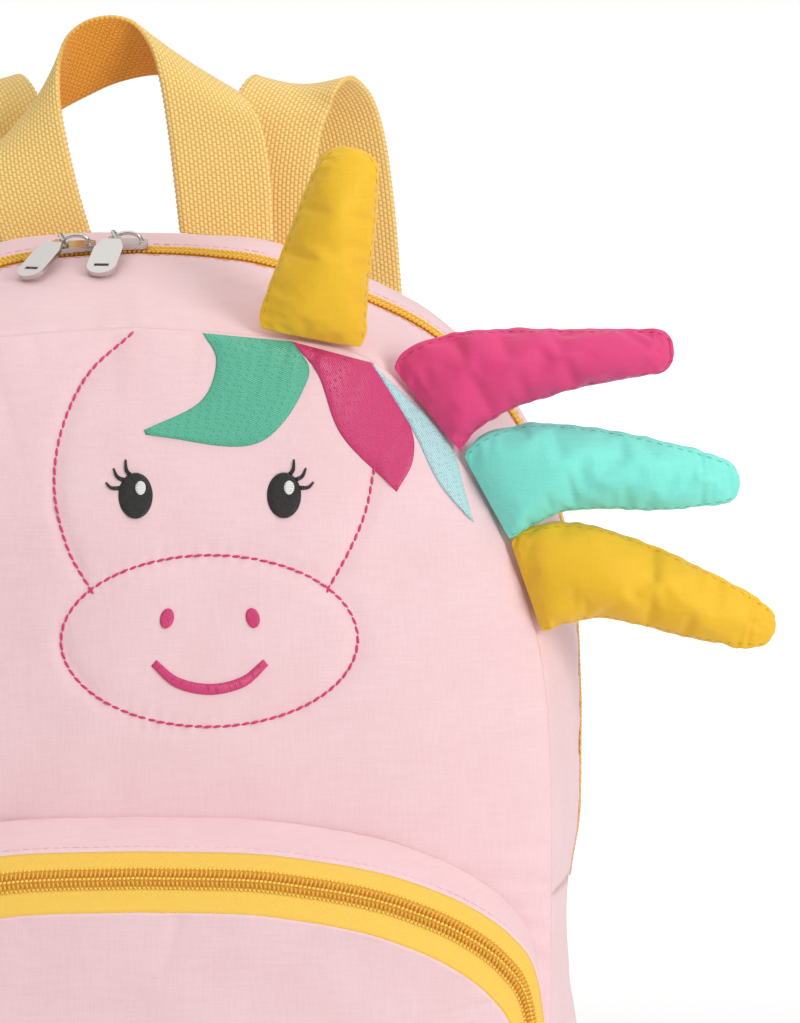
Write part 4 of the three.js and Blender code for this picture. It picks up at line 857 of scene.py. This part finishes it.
# Rows of the zip from its upper stitching to its lower one: millimetres below the coil's middle, then
# each turn's length across the tape, width, height and lift, its slant, and whether it is coil or cord.
FOLD_PER_MM = (COIL - UPPER_TAPE) / 5.8
COIL_PITCH = 1.32
pocket_coil = satin_thread("Deep_gold_nylon_coil", "#eeb037", roughness=0.36)
for row, (below, length, width, height, lift, slant, kind) in enumerate([
    (-3.3, 1.25, 0.75, 0.6, 0.1, 0.5, gold_cord), (-1.55, 2.7, 0.9, 1.6, 0.45, 1.4, pocket_coil),
    (0.05, 1.2, 0.95, 0.8, 1.0, 0.35, gold_cord), (1.35, 1.8, 0.95, 1.5, 0.45, 1.75, pocket_coil),
    (2.75, 1.25, 0.75, 0.6, 0.1, -0.5, gold_cord),
]):
    line = pocket_line(1 + (UPPER_TAPE + COIL) / 2 + below * FOLD_PER_MM)
    turns = turns_along(f"pocket_zip_row_{row}", [line], kind, pitch=COIL_PITCH, length=length, width=width,
                        height=height, slant=slant, lift=lift)
turns_along("topstitch_pocket_band", [pocket_line(0.9)], pink_thread, pitch=3.0, length=2.4, width=0.4,
            height=0.35, lift=0.5)


def pocket_face():
    """The pocket's soft face: rings that shrink towards its centre and puff forward."""
    rows = 60
    shares = panel_shares(rows)
    shares[-1] = 0.004
    grids = []
    for inset in (0.0, POCKET_WALL):
        rim = pocket_ring(2, inset)
        apex = FRONT_Y - POCKET_PUFF + inset
        s = shares[:, None]
        grids.append(np.stack([
            POCKET_CENTRE[0] + (rim[:, 0] - POCKET_CENTRE[0]) * s,
            apex + (rim[:, 1] - apex) * s**2.4,
            POCKET_CENTRE[1] + (rim[:, 2] - POCKET_CENTRE[1]) * s], -1))
    outer, inner = grids
    along = np.r_[0, np.cumsum(np.linalg.norm(np.diff(outer[0], axis=0), axis=1))]
    away = np.linalg.norm(outer - outer[:1], axis=-1)
    calm = np.clip(away / 25, 0, 1)
    relief = calm * (0.9 * soft_noise(outer, 60, 51) + 0.5 * soft_noise(outer, 24, 52))
    relief = relief - creases(along[None, :], away, 9, 0.8, 8, 53) * np.clip(away / 2, 0, 1)
    relief = relief - rolled_edge(away, 1.1, 0.8)
    outer = outer - np.stack([0 * relief, relief + 0.5, 0 * relief], -1)
    piece = shell_mesh("pocket_face", outer, inner, pink_cloth, wrap=True, uv=outer[..., (0, 2)])
    cap_pole(piece, rows, outer.shape[1])
    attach(piece, "bag")
    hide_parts("pocket_face")


pocket_face()

# Embroidery
# The face is stitched through the front panel: a running outline of the head and muzzle, satin-stitched
# eyes, nostrils and mouth, and three filled locks of forelock below the horn.
THREADS = {"magenta": "#e23c7c", "mint": "#5cc4a2", "light_blue": "#c3eef2", "black": "#15110f",
           "white": "#f7f5f2"}
# Painted shade between stitches as a share of the thread's colour, and how far one row of stitches may start
# before the next.
STITCH_SHADE, STITCH_SCATTER = 0.62, 3.0


def filled_stitch(name, hex_colour, thread_mm=0.55, stitch_mm=3.4):
    """Rayon thread laid side by side: shiny ridges along the stitches, broken where each stitch ends.
    A real thread is 0.4 mm across; it is drawn a little coarser so that it shows."""
    material, tree = new_material(name)
    uv = add(tree, "ShaderNodeUVMap", uv_map="cloth_mm")
    parts = add(tree, "ShaderNodeSeparateXYZ", {"Vector": uv.outputs[0]})
    row = add(tree, "ShaderNodeMath", {0: parts.outputs["Y"], 1: thread_mm}, operation="DIVIDE")
    ridge = add(tree, "ShaderNodeMath", {0: row.outputs[0], 1: 0.5}, operation="PINGPONG")
    number = add(tree, "ShaderNodeMath", {0: row.outputs[0]}, operation="FLOOR")
    turn = add(tree, "ShaderNodeMath", {0: number.outputs[0], 1: 12.99}, operation="MULTIPLY")
    wave = add(tree, "ShaderNodeMath", {0: turn.outputs[0]}, operation="SINE")
    shift = add(tree, "ShaderNodeMath", {0: wave.outputs[0], 1: STITCH_SCATTER}, operation="MULTIPLY")
    length = add(tree, "ShaderNodeMath", {
        0: parts.outputs["X"], 1: 1 / stitch_mm, 2: shift.outputs[0]}, operation="MULTIPLY_ADD")
    ends = add(tree, "ShaderNodeMath", {0: length.outputs[0], 1: 0.5}, operation="PINGPONG")
    end_dip = add(tree, "ShaderNodeMapRange", {"Value": ends.outputs[0], "From Max": 0.12})
    height = add(tree, "ShaderNodeMath", {0: ridge.outputs[0], 1: end_dip.outputs[0]}, operation="MULTIPLY")
    tone = add(tree, "ShaderNodeMapRange", {"Value": height.outputs[0], "From Max": 0.4})
    base = linear(hex_colour)
    dark = [c * STITCH_SHADE for c in base[:3]] + [1]
    # Painted shade: the low places between thread ridges and at the stitch ends are darkened, standing in for
    # the shade in them.
    colour = add(tree, "ShaderNodeMix", {
        "Factor": tone.outputs[0], 6: dark, 7: base}, data_type="RGBA")
    bump = add(tree, "ShaderNodeBump", {"Height": height.outputs[0], "Strength": 0.8, "Distance": 0.3 * MM})
    surface = add(tree, "ShaderNodeBsdfPrincipled", {
        "Base Color": colour.outputs[2], "Roughness": 0.38, "Sheen Weight": 0.1,
        "Normal": bump.outputs["Normal"]})
    add(tree, "ShaderNodeOutputMaterial", {"Surface": surface.outputs["BSDF"]})
    return material


fills = {name: filled_stitch(f"{name.capitalize()}_rayon_embroidery", colour)
         for name, colour in THREADS.items()}


def on_panel(x, z, lift):
    """Places on the front panel's face, lifted off it."""
    return np.stack([x, front_y(x, z) - lift, z], -1)


def embroidered_patch(name, left, right, thread, height=0.75, slant=0.0, across=26, base=0.15):
    """A filled shape between two edges of equal count, raised like laid thread."""
    s = np.linspace(0, 1, across)[None, :, None]
    flat = left[:, None, :] * (1 - s) + right[:, None, :] * s
    rim = 1 - np.abs(2 * s[..., 0] - 1) ** 5
    ends = np.minimum(np.arange(len(left)), np.arange(len(left))[::-1])[:, None] / 3
    lift = base + height * rim * np.clip(ends, 0, 1)
    outer = on_panel(flat[..., 0], flat[..., 1], lift)
    inner = outer + np.array([0, 0.5, 0]) + np.stack([0 * lift, lift, 0 * lift], -1)
    turn = math.radians(slant)
    u = flat[..., 0] * math.cos(turn) + flat[..., 1] * math.sin(turn)
    v = -flat[..., 0] * math.sin(turn) + flat[..., 1] * math.cos(turn)
    piece = shell_mesh(name, outer, inner, fills[thread], uv=np.stack([u, v], -1))
    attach(piece, "bag")
    return piece


def embroidered_stroke(name, path, widths, thread, height=0.8, count=70):
    """A satin-stitched line whose stitches run across it."""
    centre = even_path(smooth_path(path, 200), count)
    along = np.gradient(centre, axis=0)
    along /= np.linalg.norm(along, axis=1, keepdims=True)
    side = np.column_stack([-along[:, 1], along[:, 0]])
    half = np.interp(np.linspace(0, 1, count), np.linspace(0, 1, len(widths)), widths)[:, None] / 2
    piece = embroidered_patch(name, centre + side * half, centre - side * half, thread, height, across=10)
    layer = piece.data.uv_layers["cloth_mm"].data
    steps = np.r_[0, np.cumsum(np.linalg.norm(np.diff(centre, axis=0), axis=1))]
    for loop in piece.data.loops:
        k = loop.vertex_index % (count * 10)
        layer[loop.index].uv = (k % 10 * 0.1, steps[k // 10])
    return piece


def embroidered_oval(name, x, z, half_width, half_height, thread, tilt=0.0, height=0.9, base=0.15):
    """A satin-stitched oval with its stitches level."""
    turn = np.linspace(-math.pi / 2 + 0.05, math.pi / 2 - 0.05, 34)
    t = math.radians(tilt)
    edges = []
    for side in (-1, 1):
        px, pz = side * half_width * np.cos(turn), half_height * np.sin(turn)
        edges.append(np.column_stack([x + px * math.cos(t) - pz * math.sin(t),
                                      z + px * math.sin(t) + pz * math.cos(t)]))
    return embroidered_patch(name, edges[0], edges[1], thread, height, slant=tilt, base=base)


outline_thread = satin_thread("Magenta_embroidery_thread", "#d6336f", roughness=0.4)


def outline_run(name, line):
    x, z = line[:, 0], line[:, 1]
    points = on_panel(x, z, 0.15)
    step = 0.5
    slope_x = (front_y(x + step, z) - front_y(x - step, z)) / (2 * step)
    slope_z = (front_y(x, z + step) - front_y(x, z - step)) / (2 * step)
    offs = np.column_stack([slope_x, -np.ones_like(x), slope_z])
    offs /= np.linalg.norm(offs, axis=1, keepdims=True)
    turns_along(name, [(points, offs)], outline_thread, pitch=2.9, length=3.0, width=0.95, height=0.7,
                slant=0.12)


outline_run("embroidery_muzzle", MUZZLE)
outline_run("embroidery_head_left", HEAD_LEFT)
outline_run("embroidery_head_right", HEAD_RIGHT)
EYE_SPREAD, EYE_HEIGHT = 22.5, 249
for side, out in (("left", -1), ("right", 1)):
    eye_x = FACE_MIDDLE + out * EYE_SPREAD
    embroidered_oval(f"embroidery_eye_{side}", eye_x, EYE_HEIGHT, 5.2, 6.9, "black")
    embroidered_oval(f"embroidery_eye_{side}_glint", eye_x + 1.5, EYE_HEIGHT + 2.4, 1.6, 2.1, "white",
                     height=0.5, base=1.0)
    for k, rise in enumerate((0.35, 0.8, 1.25)):
        along = np.array([out * math.cos(rise), math.sin(rise)])
        start, end = along * (4.9, 6.4), along * (9.6, 11.4)
        bend = (start + end) / 2 + np.array([out * 0.5, -0.7])
        lash = [(eye_x + x, EYE_HEIGHT + z) for x, z in (start, bend, end)]
        embroidered_stroke(f"embroidery_lash_{side}_{k}", lash, [1.4, 1.1, 0.6], "black", 0.5, 20)
    embroidered_oval(f"embroidery_nostril_{side}", FACE_MIDDLE + out * 13, 212, 2.1, 3.1, "magenta",
                     tilt=out * 14, height=0.6)
embroidered_stroke("embroidery_mouth", [(5, 198.5), (12, 192.6), (22, 190.4), (32, 192.6), (39, 198.5)],
                   [2.4, 3.2, 3.4, 3.2, 2.4], "magenta")


def seam_point(x=None, z=None):
    """The point of the front seam at a height on the right, or at a distance across the top."""
    right = body_ring(FRONT_Y)[JOIN : HALF + 1]
    if z is not None:
        return np.array([np.interp(z, right[:, 1], right[:, 0]), z])
    return np.array([x, np.interp(x, right[::-1][:, 0], right[::-1][:, 1])])


def forelock(name, thread, first, last, left, right, slant):
    """A filled lock that hangs from the seam between two places across, with smooth edges down to its tip."""
    roots = [seam_point(x=x) - (0, FORELOCK_DROP) for x in (first, last)]
    a, b = (even_path(smooth_path([tuple(root)] + edge, 200), 70) for root, edge in zip(roots, (left, right)))
    embroidered_patch(name, a, b, thread, 0.9, slant, across=30)


# The locks part above the brow: the mint one sweeps to the left, the other two fall to the right.
FORELOCK_DROP = 0.9
forelock("embroidery_forelock_blue", "light_blue", 71, 89, [(84, 268), (92, 252), (102, 240.5)],
         [(96.5, 262), (100, 250), (103, 239.8)], 58)
forelock("embroidery_forelock_magenta", "magenta", 47, 72, [(55, 285), (62, 267), (78, 250.5)],
         [(83, 270), (84, 259), (79, 249.6)], 62)
forelock("embroidery_forelock_mint", "mint", 20, 47.6, [(24, 289), (19, 277), (2, 268.6)],
         [(52, 284), (36, 264.5), (2.6, 267.2)], 24)

# Webbing
# Gold polypropylene webbing, 30 mm wide and 1.6 mm thick, in a coarse basket weave: the carry handle,
# which twists half round, and the two shoulder straps behind it. All ends go into the top seam.
WEBBING_WIDTH, WEBBING_THICKNESS = 30, 1.6
SELVAGE = 0.016
SCALLOP_DEPTH, SCALLOP_PITCH = 0.22, 1.8
# Painted shade: the tint that darkens the webbing's inward face, standing in for the shade under the handle's
# arch.
PAINTED_SHADE_TINT = "#eebd3c"
HANDLE_RISE, HANDLE_SPREAD, HANDLE_SETBACK, HANDLE_FOOT_GAP = 71, 29.5, 14, 1.7
HANDLE_Y = REAR_Y - HANDLE_SETBACK
HANDLE_SETTLES_BELOW = 0.15
STRAP_SPREAD, STRAP_REACH = 42, 58
# The handle's front and rear edges from its left end to its right one, each as out, up and back. The
# webbing folds back softly over a slanting line at each side, so the middle of the loop hangs behind.
HANDLE_EDGES = np.array([
    (-0.5, 0, 0, -1.51, 0, 0), (-0.62, 0.19, 0, -1.62, 0.13, 0), (-0.73, 0.38, 0, -1.69, 0.255, 0.05),
    (-0.81, 0.55, 0, -1.67, 0.335, 0.17), (-0.84, 0.695, 0.03, -1.54, 0.395, 0.37),
    (-0.83, 0.805, 0.08, -1.26, 0.46, 0.55), (-0.76, 0.895, 0.13, -0.94, 0.545, 0.63),
    (-0.62, 0.955, 0.17, -0.58, 0.625, 0.68), (-0.44, 0.987, 0.18, -0.2, 0.695, 0.7),
    (-0.22, 0.992, 0.2, 0.23, 0.73, 0.65), (-0.02, 0.955, 0.18, 0.7, 0.715, 0.5),
    (0.14, 0.85, 0.1, 1.08, 0.65, 0.27), (0.24, 0.705, 0.03, 1.29, 0.55, 0.07),
    (0.32, 0.51, 0.01, 1.39, 0.43, 0.02), (0.39, 0.28, 0, 1.45, 0.24, 0), (0.46, 0, 0, 1.48, 0, 0),
])
# A strap's middle as out, up and back, then the direction across it.
STRAP_PATH = np.array([
    (1, 0.94, 0.046, 1, 0, 0), (1, 0.99, 0.058, 1, 0, 0), (1, 1.045, 0.065, 1, 0, 0),
    (1.04, 1.088, 0.085, 1, 0, 0),
    (1.1, 1.12, 0.13, 1, 0, 0), (1.22, 1.141, 0.24, 1, 0, 0), (1.38, 1.138, 0.38, 1, 0, 0),
    (1.54, 1.105, 0.54, 1, 0, -0.04), (1.65, 1.03, 0.7, 1, 0, -0.06), (1.77, 0.88, 0.9, 1, 0, -0.04),
    (1.96, 0.64, 1, 1, 0, 0.1), (2.2, 0.4, 0.82, 1, 0, 0.2), (2.46, 0.21, 0.42, 1, 0, 0.25),
    (2.63, 0.095, 0.04, 1, 0, 0.3),
])


def basket_webbing(name, hex_light, hex_dark, across_mm=1.3, along_mm=1.8):
    """Polypropylene webbing: plump yarn floats in columns, each column half a step from the next, with
    painted shade in the gaps between them. The face that turns inwards, marked by the attribute under, is
    darkened by a painted shade tint in place of the shade under the arch."""
    material, tree = new_material(name)
    uv = add(tree, "ShaderNodeUVMap", uv_map="cloth_mm")
    parts = add(tree, "ShaderNodeSeparateXYZ", {"Vector": uv.outputs[0]})
    column = add(tree, "ShaderNodeMath", {0: parts.outputs["X"], 1: across_mm}, operation="DIVIDE")
    number = add(tree, "ShaderNodeMath", {0: column.outputs[0]}, operation="FLOOR")
    bulge_across = add(tree, "ShaderNodeMath", {0: column.outputs[0], 1: 0.5}, operation="PINGPONG")
    step = add(tree, "ShaderNodeMath", {0: parts.outputs["Y"], 1: 1 / along_mm}, operation="MULTIPLY")
    half = add(tree, "ShaderNodeMath", {
        0: number.outputs[0], 1: 0.5, 2: step.outputs[0]}, operation="MULTIPLY_ADD")
    bulge_along = add(tree, "ShaderNodeMath", {0: half.outputs[0], 1: 0.5}, operation="PINGPONG")
    across, along = (
        add(tree, "ShaderNodeMapRange", {"Value": bulge.outputs[0], "From Max": full},
            interpolation_type="SMOOTHSTEP")
        for bulge, full in ((bulge_across, 0.36), (bulge_along, 0.26)))
    height = add(tree, "ShaderNodeMath", {0: across.outputs[0], 1: along.outputs[0]}, operation="MULTIPLY")
    # Painted shade: the gaps between the floats take the darker colour, standing in for the shade that falls
    # in them.
    face = add(tree, "ShaderNodeMix", {
        "Factor": height.outputs[0], 6: linear(hex_dark), 7: linear(hex_light)}, data_type="RGBA")
    # Painted shade: the face marked by the attribute under is multiplied by a darker tint in place of the
    # shade it lies in.
    under = add(tree, "ShaderNodeAttribute", attribute_name="under").outputs["Fac"]
    deep = add(tree, "ShaderNodeMix", {
        "Factor": 1.0, 6: face.outputs[2], 7: linear(PAINTED_SHADE_TINT)}, data_type="RGBA", blend_type="MULTIPLY")
    colour = add(tree, "ShaderNodeMix", {
        "Factor": under, 6: face.outputs[2], 7: deep.outputs[2]}, data_type="RGBA")
    bump = add(tree, "ShaderNodeBump", {
        "Height": height.outputs[0], "Strength": 0.7, "Distance": 0.35 * MM})
    surface = add(tree, "ShaderNodeBsdfPrincipled", {
        "Base Color": colour.outputs[2], "Roughness": 0.55, "Sheen Weight": 0.2,
        "Normal": bump.outputs["Normal"]})
    add(tree, "ShaderNodeOutputMaterial", {"Surface": surface.outputs["BSDF"]})
    return material


# The second colour is painted shade for the gaps between the floats.
webbing_cloth = basket_webbing("Gold_polypropylene_webbing", "#ffe390", "#f0be60")


def path_lengths(points):
    """How far along a path each of its points lies."""
    return np.r_[0, np.cumsum(np.linalg.norm(np.diff(points, axis=0), axis=1))]


def capped_quads(rows, columns):
    """Faces of a tube of rings, with a flat face at each end."""
    ends = [list(range(columns))[::-1], list((rows - 1) * columns + np.arange(columns))]
    return list(grid_quads(rows, columns, True)) + ends


def webbing(name, first, second, painted_shade_side):
    """Webbing between two edges of equal count, with a slightly scalloped selvage on each. The last
    argument says which face gets painted shade, a darker tint standing in for the shade under the arch: 1, -1
    or neither."""
    along = np.gradient((first + second) / 2, axis=0)
    across = second - first
    width = np.linalg.norm(across, axis=1, keepdims=True)
    through = np.cross(across, along)
    through /= np.linalg.norm(through, axis=1, keepdims=True)
    thick = WEBBING_THICKNESS / 2
    flat = np.linspace(SELVAGE, 1 - SELVAGE, 17)
    section = [(s, thick) for s in flat] + [(1, 0)] + [(s, -thick) for s in flat[::-1]] + [(0, 0)]
    section = np.array(section)
    points = first[:, None] + across[:, None] * section[None, :, :1] + through[:, None] * section[None, :, 1:]
    lengths = [path_lengths(first), path_lengths(second)]
    whole = (lengths[0][-1] + lengths[1][-1]) / 2
    lengths = [run * whole / run[-1] for run in lengths]
    at = lengths[0][:, None] * (1 - section[None, :, 0]) + lengths[1][:, None] * section[None, :, 0]
    selvage = np.isin(section[:, 0], (0, 1)) * np.sign(section[:, 0] - 0.5)
    scallop = SCALLOP_DEPTH * np.sin(at * 2 * math.pi / SCALLOP_PITCH) * selvage
    points += (across / width)[:, None] * scallop[..., None]
    rows, columns = points.shape[:2]
    faces = capped_quads(rows, columns)
    uv = np.stack(np.broadcast_arrays(section[None, :, 0] * WEBBING_WIDTH, at), -1).reshape(-1, 2)
    piece = finish_mesh(name, points.reshape(-1, 3), faces, webbing_cloth, uv)
    # Marks the face that gets painted shade.
    under = np.broadcast_to((section[:, 1] * painted_shade_side > 0).astype(float), (rows, columns))
    piece.data.attributes.new("under", "FLOAT", "POINT").data.foreach_set("value", under.ravel())
    outward(piece)
    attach(piece, "bag")
    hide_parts(name)


def outward(piece):
    """Turns a closed mesh's faces outwards."""
    work = bmesh.new()
    work.from_mesh(piece.data)
    bmesh.ops.recalc_face_normals(work, faces=work.faces)
    work.to_mesh(piece.data)
    work.free()


def top_surface(x, y):
    """Height of the gusset's outer face near the middle of the top."""
    right = body_ring(y)[JOIN : HALF + 1][::-1]
    return np.interp(np.abs(x), right[:, 0], right[:, 1])


def handle_edge(columns):
    """One edge of the handle from its left foot to its right one."""
    out, up, back = columns.T
    x = HANDLE_SPREAD * out
    settle = np.clip(1 - up / HANDLE_SETTLES_BELOW, 0, 1)
    foot = top_surface(0, HANDLE_Y) * (1 - settle) + (top_surface(x, HANDLE_Y) + HANDLE_FOOT_GAP) * settle
    return smooth_path(np.column_stack([x, HANDLE_Y + WEBBING_WIDTH * back, foot + HANDLE_RISE * up]), 420)


def strap_edges(mirror):
    """The two edges of a strap, from its upper end to its lower one."""
    out, up, back = STRAP_PATH[:, :3].T
    places = np.column_stack([mirror * STRAP_SPREAD * out, REAR_Y + STRAP_REACH * back, BODY_HEIGHT * up])
    middle = even_path(smooth_path(places, 900), 600)
    share = np.linspace(0, 1, 900)
    place_at = path_lengths(smooth_path(places, 900))
    sides = smooth_path(STRAP_PATH[:, 3:] * (1, mirror, mirror), 900)
    at = np.interp(np.linspace(0, place_at[-1], 600), place_at, share)
    side = np.stack([np.interp(at, share, sides[:, k]) for k in range(3)], axis=1)
    along = np.gradient(middle, axis=0)
    along /= np.linalg.norm(along, axis=1, keepdims=True)
    side -= along * np.sum(side * along, axis=1, keepdims=True)
    side *= WEBBING_WIDTH / 2 / np.linalg.norm(side, axis=1, keepdims=True)
    return middle - side, middle + side


# Only the handle's inward face gets painted shade; the straps get none.
webbing("carry_handle", handle_edge(HANDLE_EDGES[:, 3:]), handle_edge(HANDLE_EDGES[:, :3]), -1)
webbing("strap_left", *strap_edges(-1), 0)
webbing("strap_right", *strap_edges(1), 0)

# Horn and mane
# Stuffed shapes of plain-woven polyester, each sewn from two layers with a visible edge seam and sewn
# into the front panel's seam: the horn on top and three locks down the right side.
HORN_LENGTH, HORN_THICKNESS, HORN_LEAN = 60, 19, 78
LOCK_LENGTH, LOCK_THICKNESS = 78, 19
STUFFED_Y = FRONT_Y - 1.2
SEAM_BULGE = 1.3
# Edge rows: along and out of the first edge, along and out of the second, and the fill.
HORN_EDGES = np.array([
    (0.006, 0.5, 0.006, -0.5, 0.1), (0.13, 0.525, 0.1, -0.524, 0.5), (0.289, 0.491, 0.289, -0.465, 0.85),
    (0.436, 0.446, 0.442, -0.435, 1), (0.638, 0.392, 0.643, -0.4, 0.98), (0.795, 0.338, 0.825, -0.346, 0.85),
    (0.89, 0.293, 0.922, -0.307, 0.64), (0.952, 0.217, 0.965, -0.235, 0.42), (0.999, 0.103, 1, -0.103, 0.16),
])
UPPER_LOCK_EDGES = np.array([
    (0, 0.5, 0, -0.5, 0.1), (0.05, 0.61, 0.09, -0.38, 0.42), (0.16, 0.655, 0.24, -0.23, 0.75),
    (0.344, 0.59, 0.4, -0.155, 0.97), (0.602, 0.441, 0.632, -0.14, 1), (0.862, 0.288, 0.848, -0.168, 0.82),
    (0.955, 0.218, 0.927, -0.168, 0.62), (0.99, 0.133, 0.972, -0.115, 0.4), (1, 0.043, 0.995, -0.043, 0.16),
])
LOWER_LOCK_EDGES = np.array([
    (0, 0.5, 0, -0.5, 0.1), (0.03, 0.62, 0.08, -0.43, 0.42), (0.1, 0.745, 0.19, -0.32, 0.75),
    (0.22, 0.79, 0.31, -0.21, 0.97), (0.45, 0.69, 0.48, -0.21, 1), (0.68, 0.52, 0.66, -0.26, 0.95),
    (0.85, 0.36, 0.84, -0.25, 0.78), (0.96, 0.215, 0.955, -0.21, 0.45), (1, 0.065, 1, -0.065, 0.16),
])
STUFFED_SIDES, STUFFED_ROWS = 48, 60
STITCH_INSET = 1.0


def stuffed(name, edges, upper, lower, lean, length, thickness, material, seed, thread_colour):
    """A stuffed shape that leans at an angle from between two points of the front seam."""
    turn = math.radians(lean)
    axis = np.array([math.cos(turn), math.sin(turn)])
    side = np.array([-axis[1], axis[0]])
    width = np.linalg.norm(upper - lower)
    seam_side = (upper - lower) / width
    root = (upper + lower) / 2 + np.array([seam_side[1], -seam_side[0]]) * SEAM_BULGE
    rows = smooth_path(edges, STUFFED_ROWS)
    def edge(along, out):
        on_seam = np.clip(1 - np.clip(along, 0, None) * 6, 0, 1)[:, None]
        across = side * (1 - on_seam) + seam_side * on_seam
        across /= np.linalg.norm(across, axis=1, keepdims=True)
        return root + axis * along[:, None] * length + across * out[:, None] * width
    first, second = edge(rows[:, 0], rows[:, 1]), edge(rows[:, 2], rows[:, 3])
    fill = np.clip(rows[:, 4], 0.1, 1)[:, None]
    middle, half = (first + second) / 2, (second - first) / 2
    around = 2 * math.pi * np.arange(STUFFED_SIDES) / STUFFED_SIDES
    across, bulge = np.cos(around)[None], np.sin(around)[None]
    bulge = np.sign(bulge) * np.abs(bulge) ** 0.85
    x = middle[:, :1] + half[:, :1] * across
    z = middle[:, 1:] + half[:, 1:] * across
    points = np.stack([x, STUFFED_Y + bulge * thickness * fill / 2, z], -1)
    edge_away = (1 - np.abs(across)) * np.linalg.norm(half, axis=1, keepdims=True)
    along = path_lengths(middle)[:, None] + 0 * across
    dip = creases(along, edge_away, 4.5, 0.7, 3.5, seed) + 0.35 * soft_noise(points, 9, seed + 1)
    points[..., 1] -= np.sign(bulge) * dip * np.clip(fill * 1.5, 0, 1)
    count, columns = points.shape[:2]
    faces = capped_quads(count, columns)
    index = np.arange(count * columns).reshape(count, columns)
    held = np.concatenate([index[:, 0], index[:, columns // 2], index[0], index[-1]])
    rested = settle_cloth(points, faces, np.unique(held), 2.0, 0.07, 3.0)
    piece = finish_mesh(name, rested, faces, material)
    outward(piece)
    finer = piece.modifiers.new("finer", "SUBSURF")
    finer.levels = finer.render_levels = 1
    apply_modifiers(piece)
    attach(piece, "bag")
    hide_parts(name)
    thread = satin_thread(f"{material.name}_seam_thread", thread_colour, 0.5)
    tree = BVHTree.FromObject(piece, bpy.context.evaluated_depsgraph_get())
    for label, line in (("first", first), ("second", second)):
        inwards = middle - line
        inwards = inwards / np.linalg.norm(inwards, axis=1, keepdims=True)
        shown = even_path((line + inwards * STITCH_INSET)[6:-8], 60)
        points3, offs = [], []
        for x, z in shown:
            place, normal, _, _ = tree.ray_cast(Vector((x * MM, -1, z * MM)), Vector((0, 1, 0)))
            if place is not None:
                points3.append(np.array(place) / MM)
                offs.append(np.array(normal))
        turns_along(f"{name}_seam_{label}", [(np.array(points3), np.array(offs))], thread,
                    pitch=3.3, length=2.1, width=0.34, height=0.3)


horn_cloth = woven_cloth("Gold_polyester_plain_weave", "#efbf2a")
magenta_cloth = woven_cloth("Magenta_polyester_plain_weave", "#df457e")
teal_cloth = woven_cloth("Teal_polyester_plain_weave", "#82ead9")
half_width = BODY_WIDTH / 2
stuffed("horn", HORN_EDGES, seam_point(x=0.2624 * half_width), seam_point(x=0.4809 * half_width), HORN_LEAN,
        HORN_LENGTH, HORN_THICKNESS, horn_cloth, 61, "#c99a1c")
for name, edges, top, foot, lean, cloth_used, slot_name, seed, thread_colour in (
    ("mane_magenta", UPPER_LOCK_EDGES, 0.8788, 0.8006, 14, magenta_cloth, "magenta_cloth", 62, "#a82b5c"),
    ("mane_teal", LOWER_LOCK_EDGES, 0.7957, 0.7197, 4, teal_cloth, "teal_cloth", 63, "#3fb5a2"),
    ("mane_yellow", LOWER_LOCK_EDGES, 0.7151, 0.6332, -9.4, horn_cloth, "gold_cloth", 64, "#c99a1c"),
):
    stuffed(name, edges, seam_point(z=BODY_HEIGHT * top), seam_point(z=BODY_HEIGHT * foot), lean, LOCK_LENGTH,
            LOCK_THICKNESS, cloth_used, seed, thread_colour)

# Sliders and pull tabs
# Die-cast zinc with bright nickel plating. Each tab hangs by its eye on the slider's crown. The edges are
# softened, as plating rounds them.
PLATED_EDGE, SHARP_FROM = 0.22, math.radians(40)


def plated_zinc(name, hex_colour, smoothest, roughest):
    """Plated metal whose shine is a little uneven."""
    material, tree = new_material(name)
    place = add(tree, "ShaderNodeTexCoord").outputs["Object"]
    wear = add(tree, "ShaderNodeTexNoise", {"Vector": place, "Scale": 900.0, "Detail": 2.0})
    rough = add(tree, "ShaderNodeMapRange", {
        "Value": wear.outputs["Fac"], "To Min": smoothest, "To Max": roughest})
    surface = add(tree, "ShaderNodeBsdfPrincipled", {
        "Base Color": linear(hex_colour), "Metallic": 1.0, "Roughness": rough.outputs[0]})
    add(tree, "ShaderNodeOutputMaterial", {"Surface": surface.outputs["BSDF"]})
    return material


nickel = plated_zinc("Nickel_plated_zinc", "#cfccc8", 0.12, 0.26)
matte_nickel = plated_zinc("Matte_nickel_plated_zinc", "#b9b5b0", 0.42, 0.55)
DISH_FROM, DISH_TO = 0.2, 0.8


def matte_dish(piece):
    """Gives a tab's dished face its matte plating: the faces that lie a little below the plate's top."""
    polygons = piece.data.polygons
    flat = max((face for face in polygons if face.normal.z > 0.5), key=lambda face: face.area).normal.copy()
    level = [face for face in polygons if face.normal.dot(flat) > 0.999]
    top = max(face.center.dot(flat) for face in level)
    for face in level:
        if DISH_FROM * MM < top - face.center.dot(flat) < DISH_TO * MM:
            face.material_index = 1


for node, body in (("slider_left", "bag"), ("slider_right", "bag"), ("pocket_slider", "bag"),
                   ("pull_tab_left", "pull_left"), ("pull_tab_right", "pull_right")):
    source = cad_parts[node]
    mesh = source.data.copy()
    mesh.transform(source.matrix_world)
    mesh.materials.clear()
    for plating in (nickel, matte_nickel):
        mesh.materials.append(plating)
    piece = bpy.data.objects.new(f"plated_{node}", mesh)
    bpy.context.scene.collection.objects.link(piece)
    weld = piece.modifiers.new("weld", "WELD")
    weld.merge_threshold = 1e-5
    apply_modifiers(piece)
    if node.startswith("pull_tab"):
        matte_dish(piece)
    piece.data.shade_smooth()
    soften = piece.modifiers.new("soften", "BEVEL")
    soften.width, soften.segments = PLATED_EDGE * MM, 2
    soften.limit_method, soften.angle_limit = "ANGLE", SHARP_FROM
    piece.modifiers.new("flat_faces", "WEIGHTED_NORMAL")
    apply_modifiers(piece)
    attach(piece, body)
    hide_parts(node)
